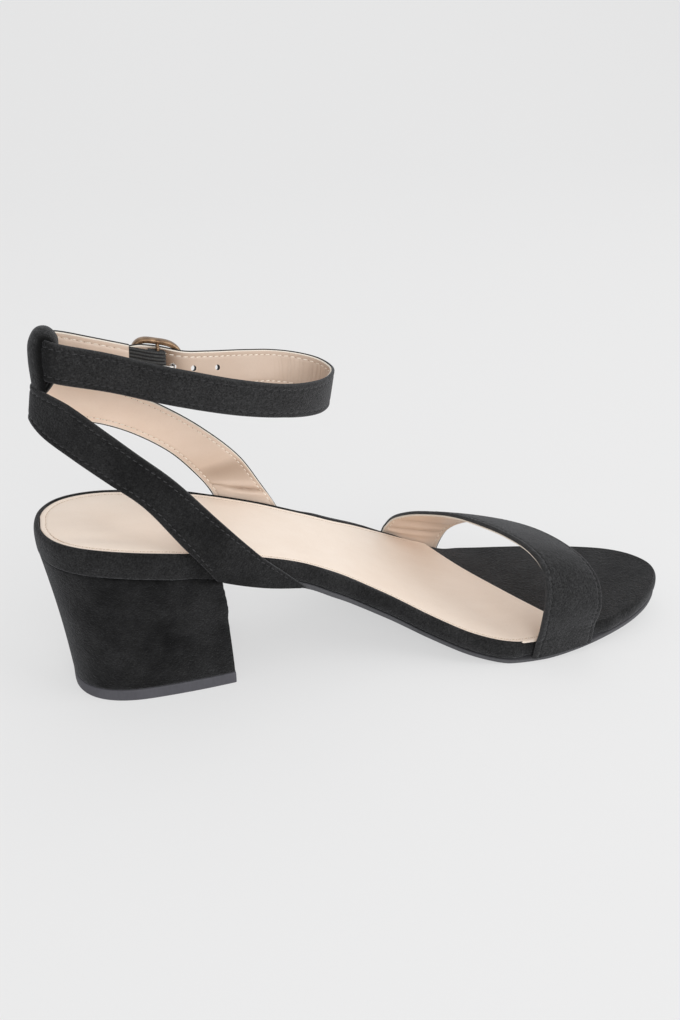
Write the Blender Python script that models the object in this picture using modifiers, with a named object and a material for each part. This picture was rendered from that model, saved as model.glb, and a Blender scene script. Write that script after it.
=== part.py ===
"""Block heel sandal, left shoe.

The heel stands at the back on -X, the toe points to +X, the outer side of the foot is +Y and +Z is up.
Sizes below are in millimetres, the meshes are in metres. Heights are above the floor, and stations
along the shoe are measured from the back of the heel seat.
"""
import math

import bmesh
import bpy
import numpy as np

MM = 0.001
NAME = "block_heel_sandal"

# Main sizes
HEEL_END = -1.6           # back of the footbed's padded rim
TOE_END = 240.0
LENGTH = TOE_END - HEEL_END
GAP = 0.3                 # air between neighbouring pieces
FOOTBED_THICK = 6.4       # board with its suede wrap
OUTSOLE_WAIST = 2.4       # thickness of the outsole at the heel breast
OUTSOLE_BALL = 1.7        # and from the ball forward
OUTSOLE_EVEN = 150.0      # station where it reaches that thickness
SOCK_THICK = 0.8
TIP_THICK = 4.7           # rubber top piece of the heel
TOE_STRAP_THICK = 2.0
SLING_THICK = 1.7
KEEPER_THICK = 2.0
KEEPER_WIDTH = 8.4
ANKLE_STRAP_WIDTH = 13.5
ANKLE_STRAP_THICK = 1.6
ELASTIC_WIDTH = 12.2
ELASTIC_THICK = 0.6

# Footbed seen from above: station, inner side and outer side of the foot
OUTLINE = (
    # x, inner y, outer y
    (-1.6, 0.0, 0.0),
    (0.2, -9.8, 9.8),
    (4.2, -16.2, 16.2),
    (10.6, -20.8, 20.8),
    (21.0, -24.2, 24.0),
    (40.0, -26.2, 24.8),
    (58.0, -26.6, 25.2),
    (75.0, -24.2, 26.4),
    (92.0, -20.6, 29.8),
    (108.0, -19.4, 35.6),
    (122.0, -21.2, 41.4),
    (136.0, -26.8, 44.0),
    (150.0, -33.4, 43.0),
    (165.0, -37.6, 39.8),
    (180.0, -38.6, 35.8),
    (195.0, -37.2, 30.4),
    (208.0, -34.4, 24.4),
    (220.0, -30.4, 17.4),
    (229.0, -25.4, 10.8),
    (235.0, -20.0, 4.2),
    (238.8, -14.4, -3.0),
    (240.0, -9.2, -9.2),
)

# Shallow recesses of the footbed's wall that take the lasted feet of the straps
STRAP_RECESS = 1.5
RECESS_SHOULDER = 5.0     # length over which the wall runs out to its full breadth
WALL_GAP = 0.45           # air between a strap's foot and the bottom of its recess
LASTED_RISE = 6.0         # height above the rim at which a strap has come free of the wall's line
RECESSES = (
    # side, first station, last station
    (-1, 51.0, 92.5),
    (1, 62.0, 97.0),
    (1, 137.0, 164.0),
    (-1, 174.0, 201.0),
)

# Side view of the footbed's upper face: heel seat, arch, ball and toe spring
PROFILE = (
    # x, height
    (0.0, 65.0),
    (30.0, 61.2),
    (60.0, 55.8),
    (80.0, 48.9),
    (100.0, 38.8),
    (120.0, 26.8),
    (140.0, 16.4),
    (155.0, 10.8),
    (166.0, 8.3),
    (176.0, 8.2),
    (190.0, 9.2),
    (205.0, 11.0),
    (240.0, 16.4),
)

# Wall of the footbed from its lower face to its upper face
FOOTBED_WALL = (
    # inset from the outline, drop below the upper face
    (2.0, 6.4),
    (0.6, 6.0),
    (0.1, 4.5),
    (0.0, 2.8),
    (0.25, 1.4),
    (0.9, 0.45),
    (2.0, 0.0),
)

# Sock: inset from the footbed's outline along the shoe
SOCK_INSET = (
    # x, inset
    (-1.6, 2.2),
    (35.0, 1.9),
    (80.0, 3.0),
    (110.0, 3.2),
    (150.0, 1.9),
    (240.0, 1.7),
)
SOCK_FRONT_INNER = 182.0  # station of its front edge on the inner side
SOCK_FRONT_OUTER = 158.0
SOCK_FRONT_BULGE = 6.0    # forward bow of that edge on the middle line
SOCK_CORNER = 0.4         # share of the half breadth that the rounded inner corner takes

# Heel block
BREAST_TOP = 59.2         # station of the flat front face under the footbed
BREAST_FOOT = 62.6
HEEL_TOP_INSET = 1.3
HEEL_FOOT_BACK = 4.7
HEEL_FOOT_HALF = 22.8
HEEL_FOOT_ROUND = 30.0    # length of the rounded back at the foot
HEEL_FOOT_POWER = 2.5
HEEL_FOOT_TAPER = 1.4     # narrowing of each side from the widest place to the breast
HEEL_WAIST = 0.7          # hollow of its walls at half height

# Toe strap, across the ball from the outer to the inner side
TOE_STRAP = (
    # rear x, y, height, front x, y, height
    (137.0, 43.9, 11.4, 162.0, 40.5, 3.0),
    (138.4, 43.9, 17.8, 164.0, 40.1, 10.2),
    (141.0, 40.6, 25.0, 167.2, 38.4, 17.6),
    (145.2, 32.2, 31.4, 171.6, 32.0, 24.4),
    (151.5, 20.0, 37.2, 177.6, 20.0, 30.4),
    (157.4, 8.0, 41.4, 183.0, 8.0, 34.4),
    (162.8, -5.0, 44.0, 189.0, -5.0, 36.6),
    (168.6, -18.0, 45.0, 194.0, -18.0, 36.8),
    (173.2, -28.0, 43.6, 197.6, -28.0, 34.8),
    (175.6, -35.0, 39.6, 199.6, -35.0, 30.4),
    (176.0, -39.4, 31.0, 200.2, -38.4, 23.0),
    (175.0, -39.2, 11.0, 199.8, -36.8, 12.0),
    (174.0, -38.5, 2.2, 199.2, -36.4, 4.0),
)
TOE_STRAP_CROWN = 0.7     # rise of its middle line over the straight line between the edges

# Heel sling, from the inner side round the back to the outer side
SLING = (
    # lower x, y, height, upper x, y, height
    (57.0, -27.9, 49.0, 90.0, -22.1, 37.2),
    (54.0, -28.0, 53.6, 81.0, -23.8, 46.8),
    (50.4, -27.2, 58.8, 71.0, -23.4, 57.2),
    (45.5, -25.0, 64.8, 61.0, -21.8, 68.4),
    (35.0, -20.6, 77.8, 46.4, -20.2, 85.6),
    (24.6, -16.8, 86.1, 35.3, -18.4, 95.8),
    (14.3, -12.6, 94.4, 25.1, -16.4, 105.1),
    (6.4, -7.0, 100.4, 16.2, -12.8, 112.4),
    (3.2, 0.0, 104.0, 5.6, 0.0, 116.2),
    (6.4, 7.0, 101.2, 16.0, 12.6, 113.0),
    (14.0, 12.4, 97.6, 23.4, 15.6, 109.8),
    (26.0, 16.6, 92.6, 34.6, 18.4, 104.4),
    (36.9, 19.2, 86.3, 46.8, 21.0, 96.4),
    (48.8, 21.6, 76.7, 61.2, 23.8, 84.8),
    (58.1, 24.2, 65.1, 75.4, 27.0, 69.6),
    (62.4, 26.0, 58.2, 83.4, 29.2, 56.0),
    (64.8, 26.6, 53.2, 89.6, 31.0, 44.6),
    (67.0, 26.7, 46.8, 94.6, 31.8, 36.0),
)

SLING_FOOT_BOW = 0.9      # downward bow of the lower edge of each foot
SLING_FOOT_SHARE = 0.12   # share of the sling's run over which that bow fades

# Keeper in side view: from the back of the sling, over the ankle strap and down inside it
KEEPER = (
    # x, height
    (4.2, 110.4),
    (5.2, 114.6),
    (6.0, 119.0),
    (6.5, 125.4),
    (7.4, 129.8),
    (9.6, 133.1),
    (12.0, 133.2),
    (13.7, 130.8),
    (13.8, 127.0),
    (13.1, 122.6),
    (12.2, 118.4),
    (10.6, 115.8),
    (8.4, 114.0),
)

# Ankle strap seen from above: from its rear end through the keeper, round the inner side and the front
# to the buckle on the outer side, and on to its free end
ANKLE_LOOP = (
    # x, y
    (38.0, 2.8),
    (25.0, 5.2),
    (14.4, 6.7),
    (10.7, 5.0),
    (9.8, 0.0),
    (10.7, -5.0),
    (14.4, -6.9),
    (31.0, -8.4),
    (51.0, -14.2),
    (71.0, -17.4),
    (88.0, -14.8),
    (100.4, -5.9),
    (105.8, 6.6),
    (102.6, 14.8),
    (93.0, 17.2),
    (77.0, 12.4),
    (63.0, 6.4),
    (54.6, 3.7),
    (46.2, 5.75),
    (38.4, 4.9),
    (33.0, 5.6),
)
ANKLE_TOP = (
    # x, height of its upper edge
    (0.0, 133.9),
    (20.0, 129.1),
    (40.0, 124.3),
    (60.0, 120.1),
    (75.0, 116.8),
    (90.0, 113.5),
    (110.0, 109.2),
)
ANKLE_LEAN = (
    # x, degrees forward, degrees of flare at the upper edge on the inner side and on the outer side
    (9.0, 8.0, 0.0, 0.0),
    (34.0, 5.0, 5.5, 10.6),
    (56.0, 2.5, 6.0, 11.6),
    (72.0, 1.0, 10.5, 18.0),
    (85.0, 0.0, 14.5, 24.0),
    (110.0, 0.0, 7.0, 7.0),
)
ANKLE_MIDDLE = (
    # x, y of the loop's middle line
    (0.0, 0.0),
    (30.0, -1.5),
    (50.0, -4.0),
    (75.0, -4.0),
    (90.0, 1.0),
    (110.0, 6.0),
)
OUTER_SIDE = 20.0         # any place on the outer side of that line
ANKLE_ROUND = 84.0        # station where the front of the loop starts to turn
TOP_OF_LOOP = 106.0       # foremost station of the loop
HOLE_STATIONS = (51.4, 57.7, 65.9)
HOLE_RISE = 0.9           # height of the holes over the strap's middle line
HOLE_RADIUS = 1.15

# Buckle
BUCKLE_STATION = 46.2     # centre bar along the shoe
BUCKLE_FALL = 0.23        # fall for each millimetre along the shoe
BAR_Y = 2.8
BAR_RADIUS = 0.9
FRAME_RADIUS = 1.05
FRAME_HALF_LENGTH = 8.3
FRAME_HALF_HEIGHT = 8.6
FRAME_BOW_FRONT = 3.5     # how far the frame's ends and sides stand out from its bar
FRAME_BOW_REAR = 5.2
FRAME_BOW_MIDDLE = 3.5
FRAME_ROUND = 0.55        # lower is squarer
BAR_BEND = 0.84           # share of the bar's half length where it turns out to the frame
PRONG_RADIUS = 0.55
ELASTIC_REAR = 36.4

# Colours, roughness and metal of each piece
LOOKS = {
    "outsole": ((0.060, 0.060, 0.066), 0.70, 0.0),
    "footbed": ((0.022, 0.021, 0.022), 0.95, 0.0),
    "insole_sock": ((0.790, 0.670, 0.560), 0.60, 0.0),
    "heel_block": ((0.022, 0.021, 0.022), 0.95, 0.0),
    "heel_tip": ((0.080, 0.080, 0.090), 0.65, 0.0),
    "toe_strap": ((0.022, 0.021, 0.022), 0.95, 0.0),
    "heel_sling": ((0.022, 0.021, 0.022), 0.95, 0.0),
    "ankle_strap": ((0.022, 0.021, 0.022), 0.95, 0.0),
    "elastic_loop": ((0.018, 0.018, 0.018), 0.80, 0.0),
    "buckle_frame": ((0.240, 0.160, 0.100), 0.35, 1.0),
    "buckle_prong": ((0.550, 0.520, 0.480), 0.30, 1.0),
}


def clear_scene():
    """Start from an empty file."""
    for item in list(bpy.data.objects):
        bpy.data.objects.remove(item, do_unlink=True)


def smooth(stations, values, at):
    """Smooth curve through the rows of a short table."""
    s = np.asarray(stations, float)
    v = np.asarray(values, float)
    slope = np.gradient(v, s)
    at = np.clip(np.asarray(at, float), s[0], s[-1])
    i = np.clip(np.searchsorted(s, at) - 1, 0, len(s) - 2)
    h = s[i + 1] - s[i]
    t = (at - s[i]) / h
    start = (2 * t ** 3 - 3 * t ** 2 + 1) * v[i] + (t ** 3 - 2 * t ** 2 + t) * h * slope[i]
    end = (3 * t ** 2 - 2 * t ** 3) * v[i + 1] + (t ** 3 - t ** 2) * h * slope[i + 1]
    return start + end


def columns(table):
    return np.asarray(table, float).T


def turn_of(x):
    """Angle that runs from 0 at the heel to pi at the toe, so that both ends come out round."""
    return np.arccos(np.clip(1 - 2 * (np.asarray(x, float) - HEEL_END) / LENGTH, -1, 1))


OUT_X, OUT_INNER, OUT_OUTER = columns(OUTLINE)
OUT_TURN = turn_of(OUT_X)


def inner_y(x):
    return smooth(OUT_TURN, OUT_INNER, turn_of(x))


def outer_y(x):
    return smooth(OUT_TURN, OUT_OUTER, turn_of(x))


def top_z(x):
    """Upper face of the footbed."""
    px, pz = columns(PROFILE)
    return smooth(px, pz, x)


def plan(turn):
    """Point of the outline: the outer side for turns from 0 to pi, the inner side from pi to 2 pi."""
    turn = np.mod(turn, 2 * math.pi)
    outer = turn <= math.pi
    a = np.where(outer, turn, 2 * math.pi - turn)
    x = HEEL_END + LENGTH / 2 * (1 - np.cos(a))
    y = np.where(outer, smooth(OUT_TURN, OUT_OUTER, a), smooth(OUT_TURN, OUT_INNER, a))
    return np.stack([x, y], -1)


def recess(x, side):
    """Depth of the wall's recess under a strap."""
    depth = np.zeros_like(x)
    for at, first, last in RECESSES:
        rise = np.clip((x - first) / RECESS_SHOULDER + 1, 0, 1)
        fall = np.clip((last - x) / RECESS_SHOULDER + 1, 0, 1)
        step = np.minimum(rise, fall)
        depth = np.where(side == at, np.maximum(depth, STRAP_RECESS * step * step * (3 - 2 * step)), depth)
    return depth


def inset_plan(turn, inset):
    """The outline moved inwards, square to itself."""
    step = 0.02
    along = plan(turn + step) - plan(turn - step)
    along /= np.linalg.norm(along, axis=-1, keepdims=True)
    outward = np.stack([-along[:, 1], along[:, 0]], -1)
    return plan(turn) - outward * np.reshape(inset, (-1, 1))


def new_object(name, verts, faces, collection):
    mesh = bpy.data.meshes.new(name)
    mesh.from_pydata([tuple(v * MM) for v in np.asarray(verts, float)], [], faces)
    work = bmesh.new()
    work.from_mesh(mesh)
    bmesh.ops.recalc_face_normals(work, faces=work.faces)
    work.to_mesh(mesh)
    work.free()
    obj = bpy.data.objects.new(name, mesh)
    collection.objects.link(obj)
    return obj


def loft_body(name, rings, collection):
    """Closed body through rings of the same size. Points k and n-1-k of a ring lie across from each other."""
    n = len(rings[0])
    faces = []
    for r in range(len(rings) - 1):
        low = r * n
        high = low + n
        faces += [(low + k, low + (k + 1) % n, high + (k + 1) % n, high + k) for k in range(n)]
    for first in (0, (len(rings) - 1) * n):
        faces += [(first + k, first + k + 1, first + n - 2 - k, first + n - 1 - k) for k in range(n // 2 - 1)]
    return new_object(name, np.concatenate(rings), faces, collection)


def sheet(name, grid, thickness, offset, collection):
    """Open surface through a grid of points, with a wall of its own thickness."""
    rows, cols = grid.shape[:2]
    faces = [
        (i * cols + j, i * cols + j + 1, (i + 1) * cols + j + 1, (i + 1) * cols + j)
        for i in range(rows - 1)
        for j in range(cols - 1)
    ]
    obj = new_object(name, grid.reshape(-1, 3), faces, collection)
    solid = obj.modifiers.new("Wall", "SOLIDIFY")
    solid.thickness = thickness * MM
    solid.offset = offset
    solid.use_even_offset = True
    return obj


def path_through(rows, count):
    """Even steps along a smooth path through the rows of a table, whose first three columns are places."""
    rows = np.asarray(rows, float)
    places = rows[:, :3]
    run = np.concatenate([[0], np.cumsum(np.linalg.norm(np.diff(places, axis=0), axis=1) ** 0.5)])
    fine = np.linspace(0, run[-1], 40 * len(rows))
    dense = np.stack([smooth(run, c, fine) for c in rows.T], -1)
    length = np.concatenate([[0], np.cumsum(np.linalg.norm(np.diff(dense[:, :3], axis=0), axis=1))])
    at = np.linspace(0, length[-1], count)
    return np.stack([np.interp(at, length, c) for c in dense.T], -1)


def lasted(points, thickness):
    """Lay the foot of a strap into its recess in the footbed's wall, and let it come free above the rim."""
    points = points.copy()
    x, y, z = points[..., 0], points[..., 1], points[..., 2]
    reach = WALL_GAP + thickness / 2 - STRAP_RECESS
    wall = np.where(y > 0, outer_y(x) + reach, inner_y(x) - reach)
    hold = np.clip(1 - (z - top_z(x)) / LASTED_RISE, 0, 1)
    points[..., 1] += (wall - y) * hold * hold * (3 - 2 * hold)
    return points


def build_footbed(collection):
    n = 108
    turn = (np.arange(n) + 0.5) / n * 2 * math.pi
    rings = []
    for inset, drop in FOOTBED_WALL:
        xy = inset_plan(turn, inset + recess(plan(turn)[:, 0], np.where(turn < math.pi, 1, -1)))
        rings.append(np.column_stack([xy, top_z(xy[:, 0]) - drop]))
    return loft_body("footbed", rings, collection)


def build_outsole(collection):
    n = 84
    first = turn_of(BREAST_FOOT + 1.6)
    turn = np.linspace(first, 2 * math.pi - first, n)
    rings = []
    for inset, share in ((1.2, 0.0), (0.35, 0.15), (0.35, 0.8), (1.0, 1.0)):
        xy = inset_plan(turn, inset + recess(plan(turn)[:, 0], np.where(turn < math.pi, 1, -1)))
        upper = top_z(xy[:, 0]) - FOOTBED_THICK - GAP
        thick = np.interp(xy[:, 0], (BREAST_FOOT, OUTSOLE_EVEN), (OUTSOLE_WAIST, OUTSOLE_BALL))
        lower = np.maximum(upper - thick, 0.0)
        rings.append(np.column_stack([xy, upper + (lower - upper) * share]))
    return loft_body("outsole", rings, collection)


def build_sock(collection):
    along, across = 38, 8
    u = np.linspace(0.035, 1, along)
    end_outer = turn_of(SOCK_FRONT_OUTER)
    end_inner = turn_of(SOCK_FRONT_INNER)
    inset_x, inset = columns(SOCK_INSET)
    outer = plan(u * end_outer)
    inner = plan(-u * end_inner)
    outer = inset_plan(u * end_outer, smooth(inset_x, inset, outer[:, 0]))
    inner = inset_plan(2 * math.pi - u * end_inner, smooth(inset_x, inset, inner[:, 0]))
    s = -np.cos(np.linspace(0, math.pi, across + 1))
    corner = np.clip((SOCK_CORNER - 1 - s) / SOCK_CORNER, 0, 1)
    bulge = SOCK_FRONT_BULGE * np.where(corner > 0, 2 - SOCK_CORNER, 1 - s) * np.sqrt(1 - corner ** 2)
    share = ((s + 1) / 2)[None, :, None]
    xy = inner[:, None] * (1 - share) + outer[:, None] * share
    xy[..., 0] += bulge[None] * (u[:, None] ** 5)
    grid = np.concatenate([xy, (top_z(xy[..., 0]) + GAP)[..., None]], -1)
    obj = sheet("insole_sock", grid, SOCK_THICK, 1.0, collection)
    face_up(obj)
    return obj


def face_up(obj):
    """Turn an open sheet so that its wall grows upwards."""
    mesh = obj.data
    if sum(p.normal.z for p in mesh.polygons) < 0:
        mesh.flip_normals()


def build_heel_block(collection):
    n = 44
    turn = np.linspace(turn_of(BREAST_TOP), -turn_of(BREAST_TOP), n)
    top_xy = inset_plan(turn, HEEL_TOP_INSET)
    top_xy[[0, -1], 0] = BREAST_TOP
    share = (top_xy[:, 0] - HEEL_END) / (BREAST_TOP - HEEL_END)
    foot_xy = heel_foot(share, np.sign(top_xy[:, 1]))
    middle = np.array([BREAST_FOOT * 0.55, 0.0])
    rings = []
    for w in np.linspace(0, 1, 9):
        xy = top_xy * (1 - w) + foot_xy * w
        inwards = middle - xy
        inwards /= np.linalg.norm(inwards, axis=1, keepdims=True)
        hollow = HEEL_WAIST * math.sin(math.pi * w) * np.clip((BREAST_TOP - 6 - top_xy[:, 0]) / 12, 0, 1)
        xy = xy + inwards * hollow[:, None]
        upper = top_z(top_xy[:, 0]) - FOOTBED_THICK - GAP
        rings.append(np.column_stack([xy, upper * (1 - w) + (TIP_THICK + GAP) * w]))
    return loft_body("heel_block", rings, collection)


def heel_foot(share, side):
    """Outline of the heel at the floor, for shares of its length from the back to the breast."""
    x = HEEL_FOOT_BACK + (BREAST_FOOT - HEEL_FOOT_BACK) * share
    t = np.clip((x - HEEL_FOOT_BACK) / HEEL_FOOT_ROUND, 0, 1)
    half = HEEL_FOOT_HALF * (1 - (1 - t) ** HEEL_FOOT_POWER) ** (1 / HEEL_FOOT_POWER)
    widest = HEEL_FOOT_BACK + HEEL_FOOT_ROUND
    taper = HEEL_FOOT_TAPER * np.clip((x - widest) / (BREAST_FOOT - widest), 0, 1) ** 2
    return np.column_stack([x, side * (half - taper)])


def build_heel_tip(collection):
    n = 44
    half = np.linspace(1, 0.02, n // 2)
    share = np.concatenate([half, half[::-1]]) ** 1.6
    side = np.repeat([1.0, -1.0], n // 2)
    xy = heel_foot(share, side)
    middle = np.array([BREAST_FOOT * 0.55, 0.0])
    rings = []
    for shrink, z in ((0.4, 0.0), (0.0, 0.5), (0.0, TIP_THICK - 0.2), (0.2, TIP_THICK)):
        inwards = middle - xy
        inwards /= np.linalg.norm(inwards, axis=1, keepdims=True)
        rings.append(np.column_stack([xy + inwards * shrink, np.full(n, z)]))
    return loft_body("heel_tip", rings, collection)


def build_toe_strap(collection):
    rear, front = columns(TOE_STRAP)[:3].T, columns(TOE_STRAP)[3:].T
    count, across = 40, 6
    both = path_through(np.column_stack([(rear + front) / 2, rear, front]), count)
    share = np.linspace(0, 1, across + 1)[None, :, None]
    grid = both[:, None, 3:6] * (1 - share) + both[:, None, 6:9] * share
    arch = np.sin(np.linspace(0, math.pi, count))[:, None]
    grid[..., 2] += TOE_STRAP_CROWN * (1 - (2 * share[..., 0] - 1) ** 2) * arch
    grid = lasted(grid, TOE_STRAP_THICK)
    return sheet("toe_strap", grid, TOE_STRAP_THICK, 0.0, collection)


def build_sling(collection, cutters):
    lower, upper = columns(SLING)[:3].T, columns(SLING)[3:].T
    both = path_through(np.column_stack([(lower + upper) / 2, lower, upper]), 66)
    share = np.linspace(0, 1, 6)[None, :, None]
    grid = both[:, None, 3:6] * (1 - share) + both[:, None, 6:9] * share
    end = np.linspace(0, 1, len(both))[:, None]
    near_foot = np.clip(1 - np.minimum(end, 1 - end) / SLING_FOOT_SHARE, 0, 1) ** 2
    grid[..., 2] -= SLING_FOOT_BOW * near_foot * np.sin(math.pi * share[..., 0])
    grid = lasted(grid, SLING_THICK)
    sling = sheet("heel_sling", grid, SLING_THICK, 0.0, collection)
    side = path_through(np.column_stack([columns(KEEPER)[0], np.zeros(len(KEEPER)), columns(KEEPER)[1]]), 24)
    across = np.linspace(-KEEPER_WIDTH / 2, KEEPER_WIDTH / 2, 5)
    loop = np.repeat(side[:, None], len(across), axis=1)
    loop[..., 1] += across
    keeper = sheet("keeper", loop, KEEPER_THICK, 0.0, cutters)
    join = sling.modifiers.new("Keeper", "BOOLEAN")
    join.operation = "UNION"
    join.solver = "EXACT"
    join.object = keeper
    as_cutter(keeper)
    return sling


def as_cutter(obj):
    obj.hide_render = True
    obj.display_type = "WIRE"


def strap_up(x, y):
    """Direction across the ankle strap's width, at places seen from above."""
    x, y = np.broadcast_arrays(np.asarray(x, float), np.asarray(y, float))
    at, forward, inner, outer = columns(ANKLE_LEAN)
    beside = y - np.interp(x, *columns(ANKLE_MIDDLE))
    side = 0.5 + 0.5 * np.tanh(beside / 2)
    flare = np.interp(x, at, inner) * (1 - side) + np.interp(x, at, outer) * side
    flare = np.tan(np.radians(flare))
    forward = np.tan(np.radians(np.interp(x, at, forward)))
    ahead = np.clip((x - ANKLE_ROUND) / (TOP_OF_LOOP - ANKLE_ROUND), 0, 1) ** 1.5
    out_x = ahead
    out_y = (1 - ahead) * beside / (np.abs(beside) + 1.0)
    size = np.maximum(np.hypot(out_x, out_y), 0.3)
    up = np.stack([forward + flare * out_x / size, flare * out_y / size, np.ones_like(x)], -1)
    return up / np.linalg.norm(up, axis=-1, keepdims=True)


def strap_middle_z(x, y):
    up = strap_up(x, y)
    return smooth(*columns(ANKLE_TOP), x) - ANKLE_STRAP_WIDTH / 2 * up[..., 2]


def build_ankle_strap(collection, cutters):
    x, y = columns(ANKLE_LOOP)
    path = path_through(np.column_stack([x, y, strap_middle_z(x, y)]), 108)
    path[:, 2] = strap_middle_z(path[:, 0], path[:, 1])
    up = strap_up(path[:, 0], path[:, 1])
    w = np.linspace(-0.5, 0.5, 4) * ANKLE_STRAP_WIDTH
    grid = path[:, None] + up[:, None] * w[None, :, None]
    strap = sheet("ankle_strap", grid, ANKLE_STRAP_THICK, 0.0, collection)
    free_end = path[len(path) // 2:][::-1]
    free_end = free_end[:np.argmax(free_end[:, 0])]
    rise = np.array([0.0, 0.0, HOLE_RISE])
    turned = (math.pi / 2, 0.1, 0.0)
    for number, station in enumerate(HOLE_STATIONS):
        place = np.array([np.interp(station, free_end[:, 0], c) for c in free_end.T])
        bpy.ops.mesh.primitive_cylinder_add(
            vertices=14, radius=HOLE_RADIUS * MM, depth=9 * MM, location=(place + rise) * MM, rotation=turned
        )
        punch = bpy.context.object
        punch.name = f"punch_{number + 1}"
        move_to(punch, cutters)
        as_cutter(punch)
        cut = strap.modifiers.new(punch.name, "BOOLEAN")
        cut.operation = "DIFFERENCE"
        cut.solver = "EXACT"
        cut.object = punch
    return strap


def move_to(obj, collection):
    for other in list(obj.users_collection):
        other.objects.unlink(obj)
    collection.objects.link(obj)


def build_elastic(collection):
    """Ribbed band: inner layer along the rear end of the strap, round the bar, and a short outer layer."""
    wrap = BAR_RADIUS + GAP + ELASTIC_THICK / 2
    layer = ANKLE_STRAP_THICK / 2 + GAP + ELASTIC_THICK / 2
    rows = [(ELASTIC_REAR, BAR_Y - layer + 0.35), (ELASTIC_REAR + 5, BAR_Y - layer)]
    rows += [(BUCKLE_STATION - 3.5, BAR_Y - wrap)]
    for angle in np.linspace(-90, 90, 7):
        a = math.radians(angle)
        rows.append((BUCKLE_STATION + wrap * math.cos(a), BAR_Y + wrap * math.sin(a)))
    rows += [(BUCKLE_STATION - 1.6, BAR_Y + wrap), (BUCKLE_STATION - 3.2, BAR_Y + wrap - 0.2)]
    rows = np.asarray(rows)
    path = path_through(np.column_stack([rows, strap_middle_z(rows[:, 0], OUTER_SIDE)]), 40)
    path[:, 2] = strap_middle_z(path[:, 0], OUTER_SIDE)
    up = strap_up(path[:, 0], OUTER_SIDE)
    w = np.linspace(-0.5, 0.5, 4) * ELASTIC_WIDTH
    grid = path[:, None] + up[:, None] * w[None, :, None]
    return sheet("elastic_loop", grid, ELASTIC_THICK, 0.0, collection)


def tube(name, points, radius, cyclic, collection):
    """Bent wire as a mesh."""
    curve = bpy.data.curves.new(name, "CURVE")
    curve.dimensions = "3D"
    spline = curve.splines.new("POLY")
    spline.points.add(len(points) - 1)
    for knot, place in zip(spline.points, points):
        knot.co = (*(place * MM), 1.0)
    spline.use_cyclic_u = cyclic
    curve.bevel_depth = radius * MM
    curve.bevel_resolution = 2
    curve.use_fill_caps = not cyclic
    wire = bpy.data.objects.new(name + "_wire", curve)
    collection.objects.link(wire)
    bpy.context.view_layer.update()
    ready = wire.evaluated_get(bpy.context.evaluated_depsgraph_get())
    mesh = bpy.data.meshes.new_from_object(ready)
    mesh.name = name
    work = bmesh.new()
    work.from_mesh(mesh)
    bmesh.ops.remove_doubles(work, verts=work.verts, dist=0.00001)
    bmesh.ops.recalc_face_normals(work, faces=work.faces)
    work.to_mesh(mesh)
    work.free()
    obj = bpy.data.objects.new(name, mesh)
    collection.objects.link(obj)
    bpy.data.objects.remove(wire, do_unlink=True)
    return obj


def buckle_place(along_mm, up_mm, y):
    """Point of the buckle: along the strap, across its width, and out from the foot."""
    along = np.array([1.0, 0.0, -BUCKLE_FALL]) / math.hypot(1.0, BUCKLE_FALL)
    up = strap_up(BUCKLE_STATION, OUTER_SIDE)
    centre = np.array([BUCKLE_STATION, 0.0, float(strap_middle_z(BUCKLE_STATION, OUTER_SIDE))])
    return centre + along * along_mm + up * up_mm + np.array([0.0, y, 0.0])


def frame_y(along_mm):
    bow = FRAME_BOW_FRONT if along_mm > 0 else FRAME_BOW_REAR
    t = abs(along_mm) / FRAME_HALF_LENGTH
    return BAR_Y + FRAME_BOW_MIDDLE + (bow - FRAME_BOW_MIDDLE) * t * t


def build_buckle(collection, cutters):
    ring = []
    for angle in np.linspace(0, 2 * math.pi, 44, endpoint=False):
        c, s = math.cos(angle), math.sin(angle)
        along = FRAME_HALF_LENGTH * math.copysign(abs(c) ** FRAME_ROUND, c)
        up = FRAME_HALF_HEIGHT * math.copysign(abs(s) ** FRAME_ROUND, s)
        ring.append(buckle_place(along, up, frame_y(along)))
    frame = tube("buckle_frame", np.array(ring), FRAME_RADIUS, True, collection)
    bends = ((-1, FRAME_BOW_MIDDLE), (-BAR_BEND, 0), (BAR_BEND, 0), (1, FRAME_BOW_MIDDLE))
    ends = [buckle_place(0, share * FRAME_HALF_HEIGHT, BAR_Y + out) for share, out in bends]
    bar = tube("bar", np.array(ends), BAR_RADIUS, False, cutters)
    as_cutter(bar)
    join = frame.modifiers.new("Bar", "BOOLEAN")
    join.operation = "UNION"
    join.solver = "EXACT"
    join.object = bar
    rest = frame_y(FRAME_HALF_LENGTH) + FRAME_RADIUS + GAP + PRONG_RADIUS
    pin = [(2.7, 2.3), (4.3, 2.6), (5.1, 3.3), (5.2, 5.9), (5.7, rest - 0.5), (7.0, rest), (9.4, rest)]
    bent = np.array([buckle_place(along, HOLE_RISE, y) for along, y in pin])
    prong = tube("buckle_prong", bent, PRONG_RADIUS, False, collection)
    return frame, prong


def paint(obj):
    colour, roughness, metal = LOOKS[obj.name]
    material = bpy.data.materials.new(obj.name)
    material.use_nodes = True
    shader = material.node_tree.nodes["Principled BSDF"]
    shader.inputs["Base Color"].default_value = (*colour, 1.0)
    shader.inputs["Roughness"].default_value = roughness
    shader.inputs["Metallic"].default_value = metal
    obj.data.materials.clear()
    obj.data.materials.append(material)
    obj.data.shade_smooth()
    obj.data.set_sharp_from_angle(angle=math.radians(40))


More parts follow.
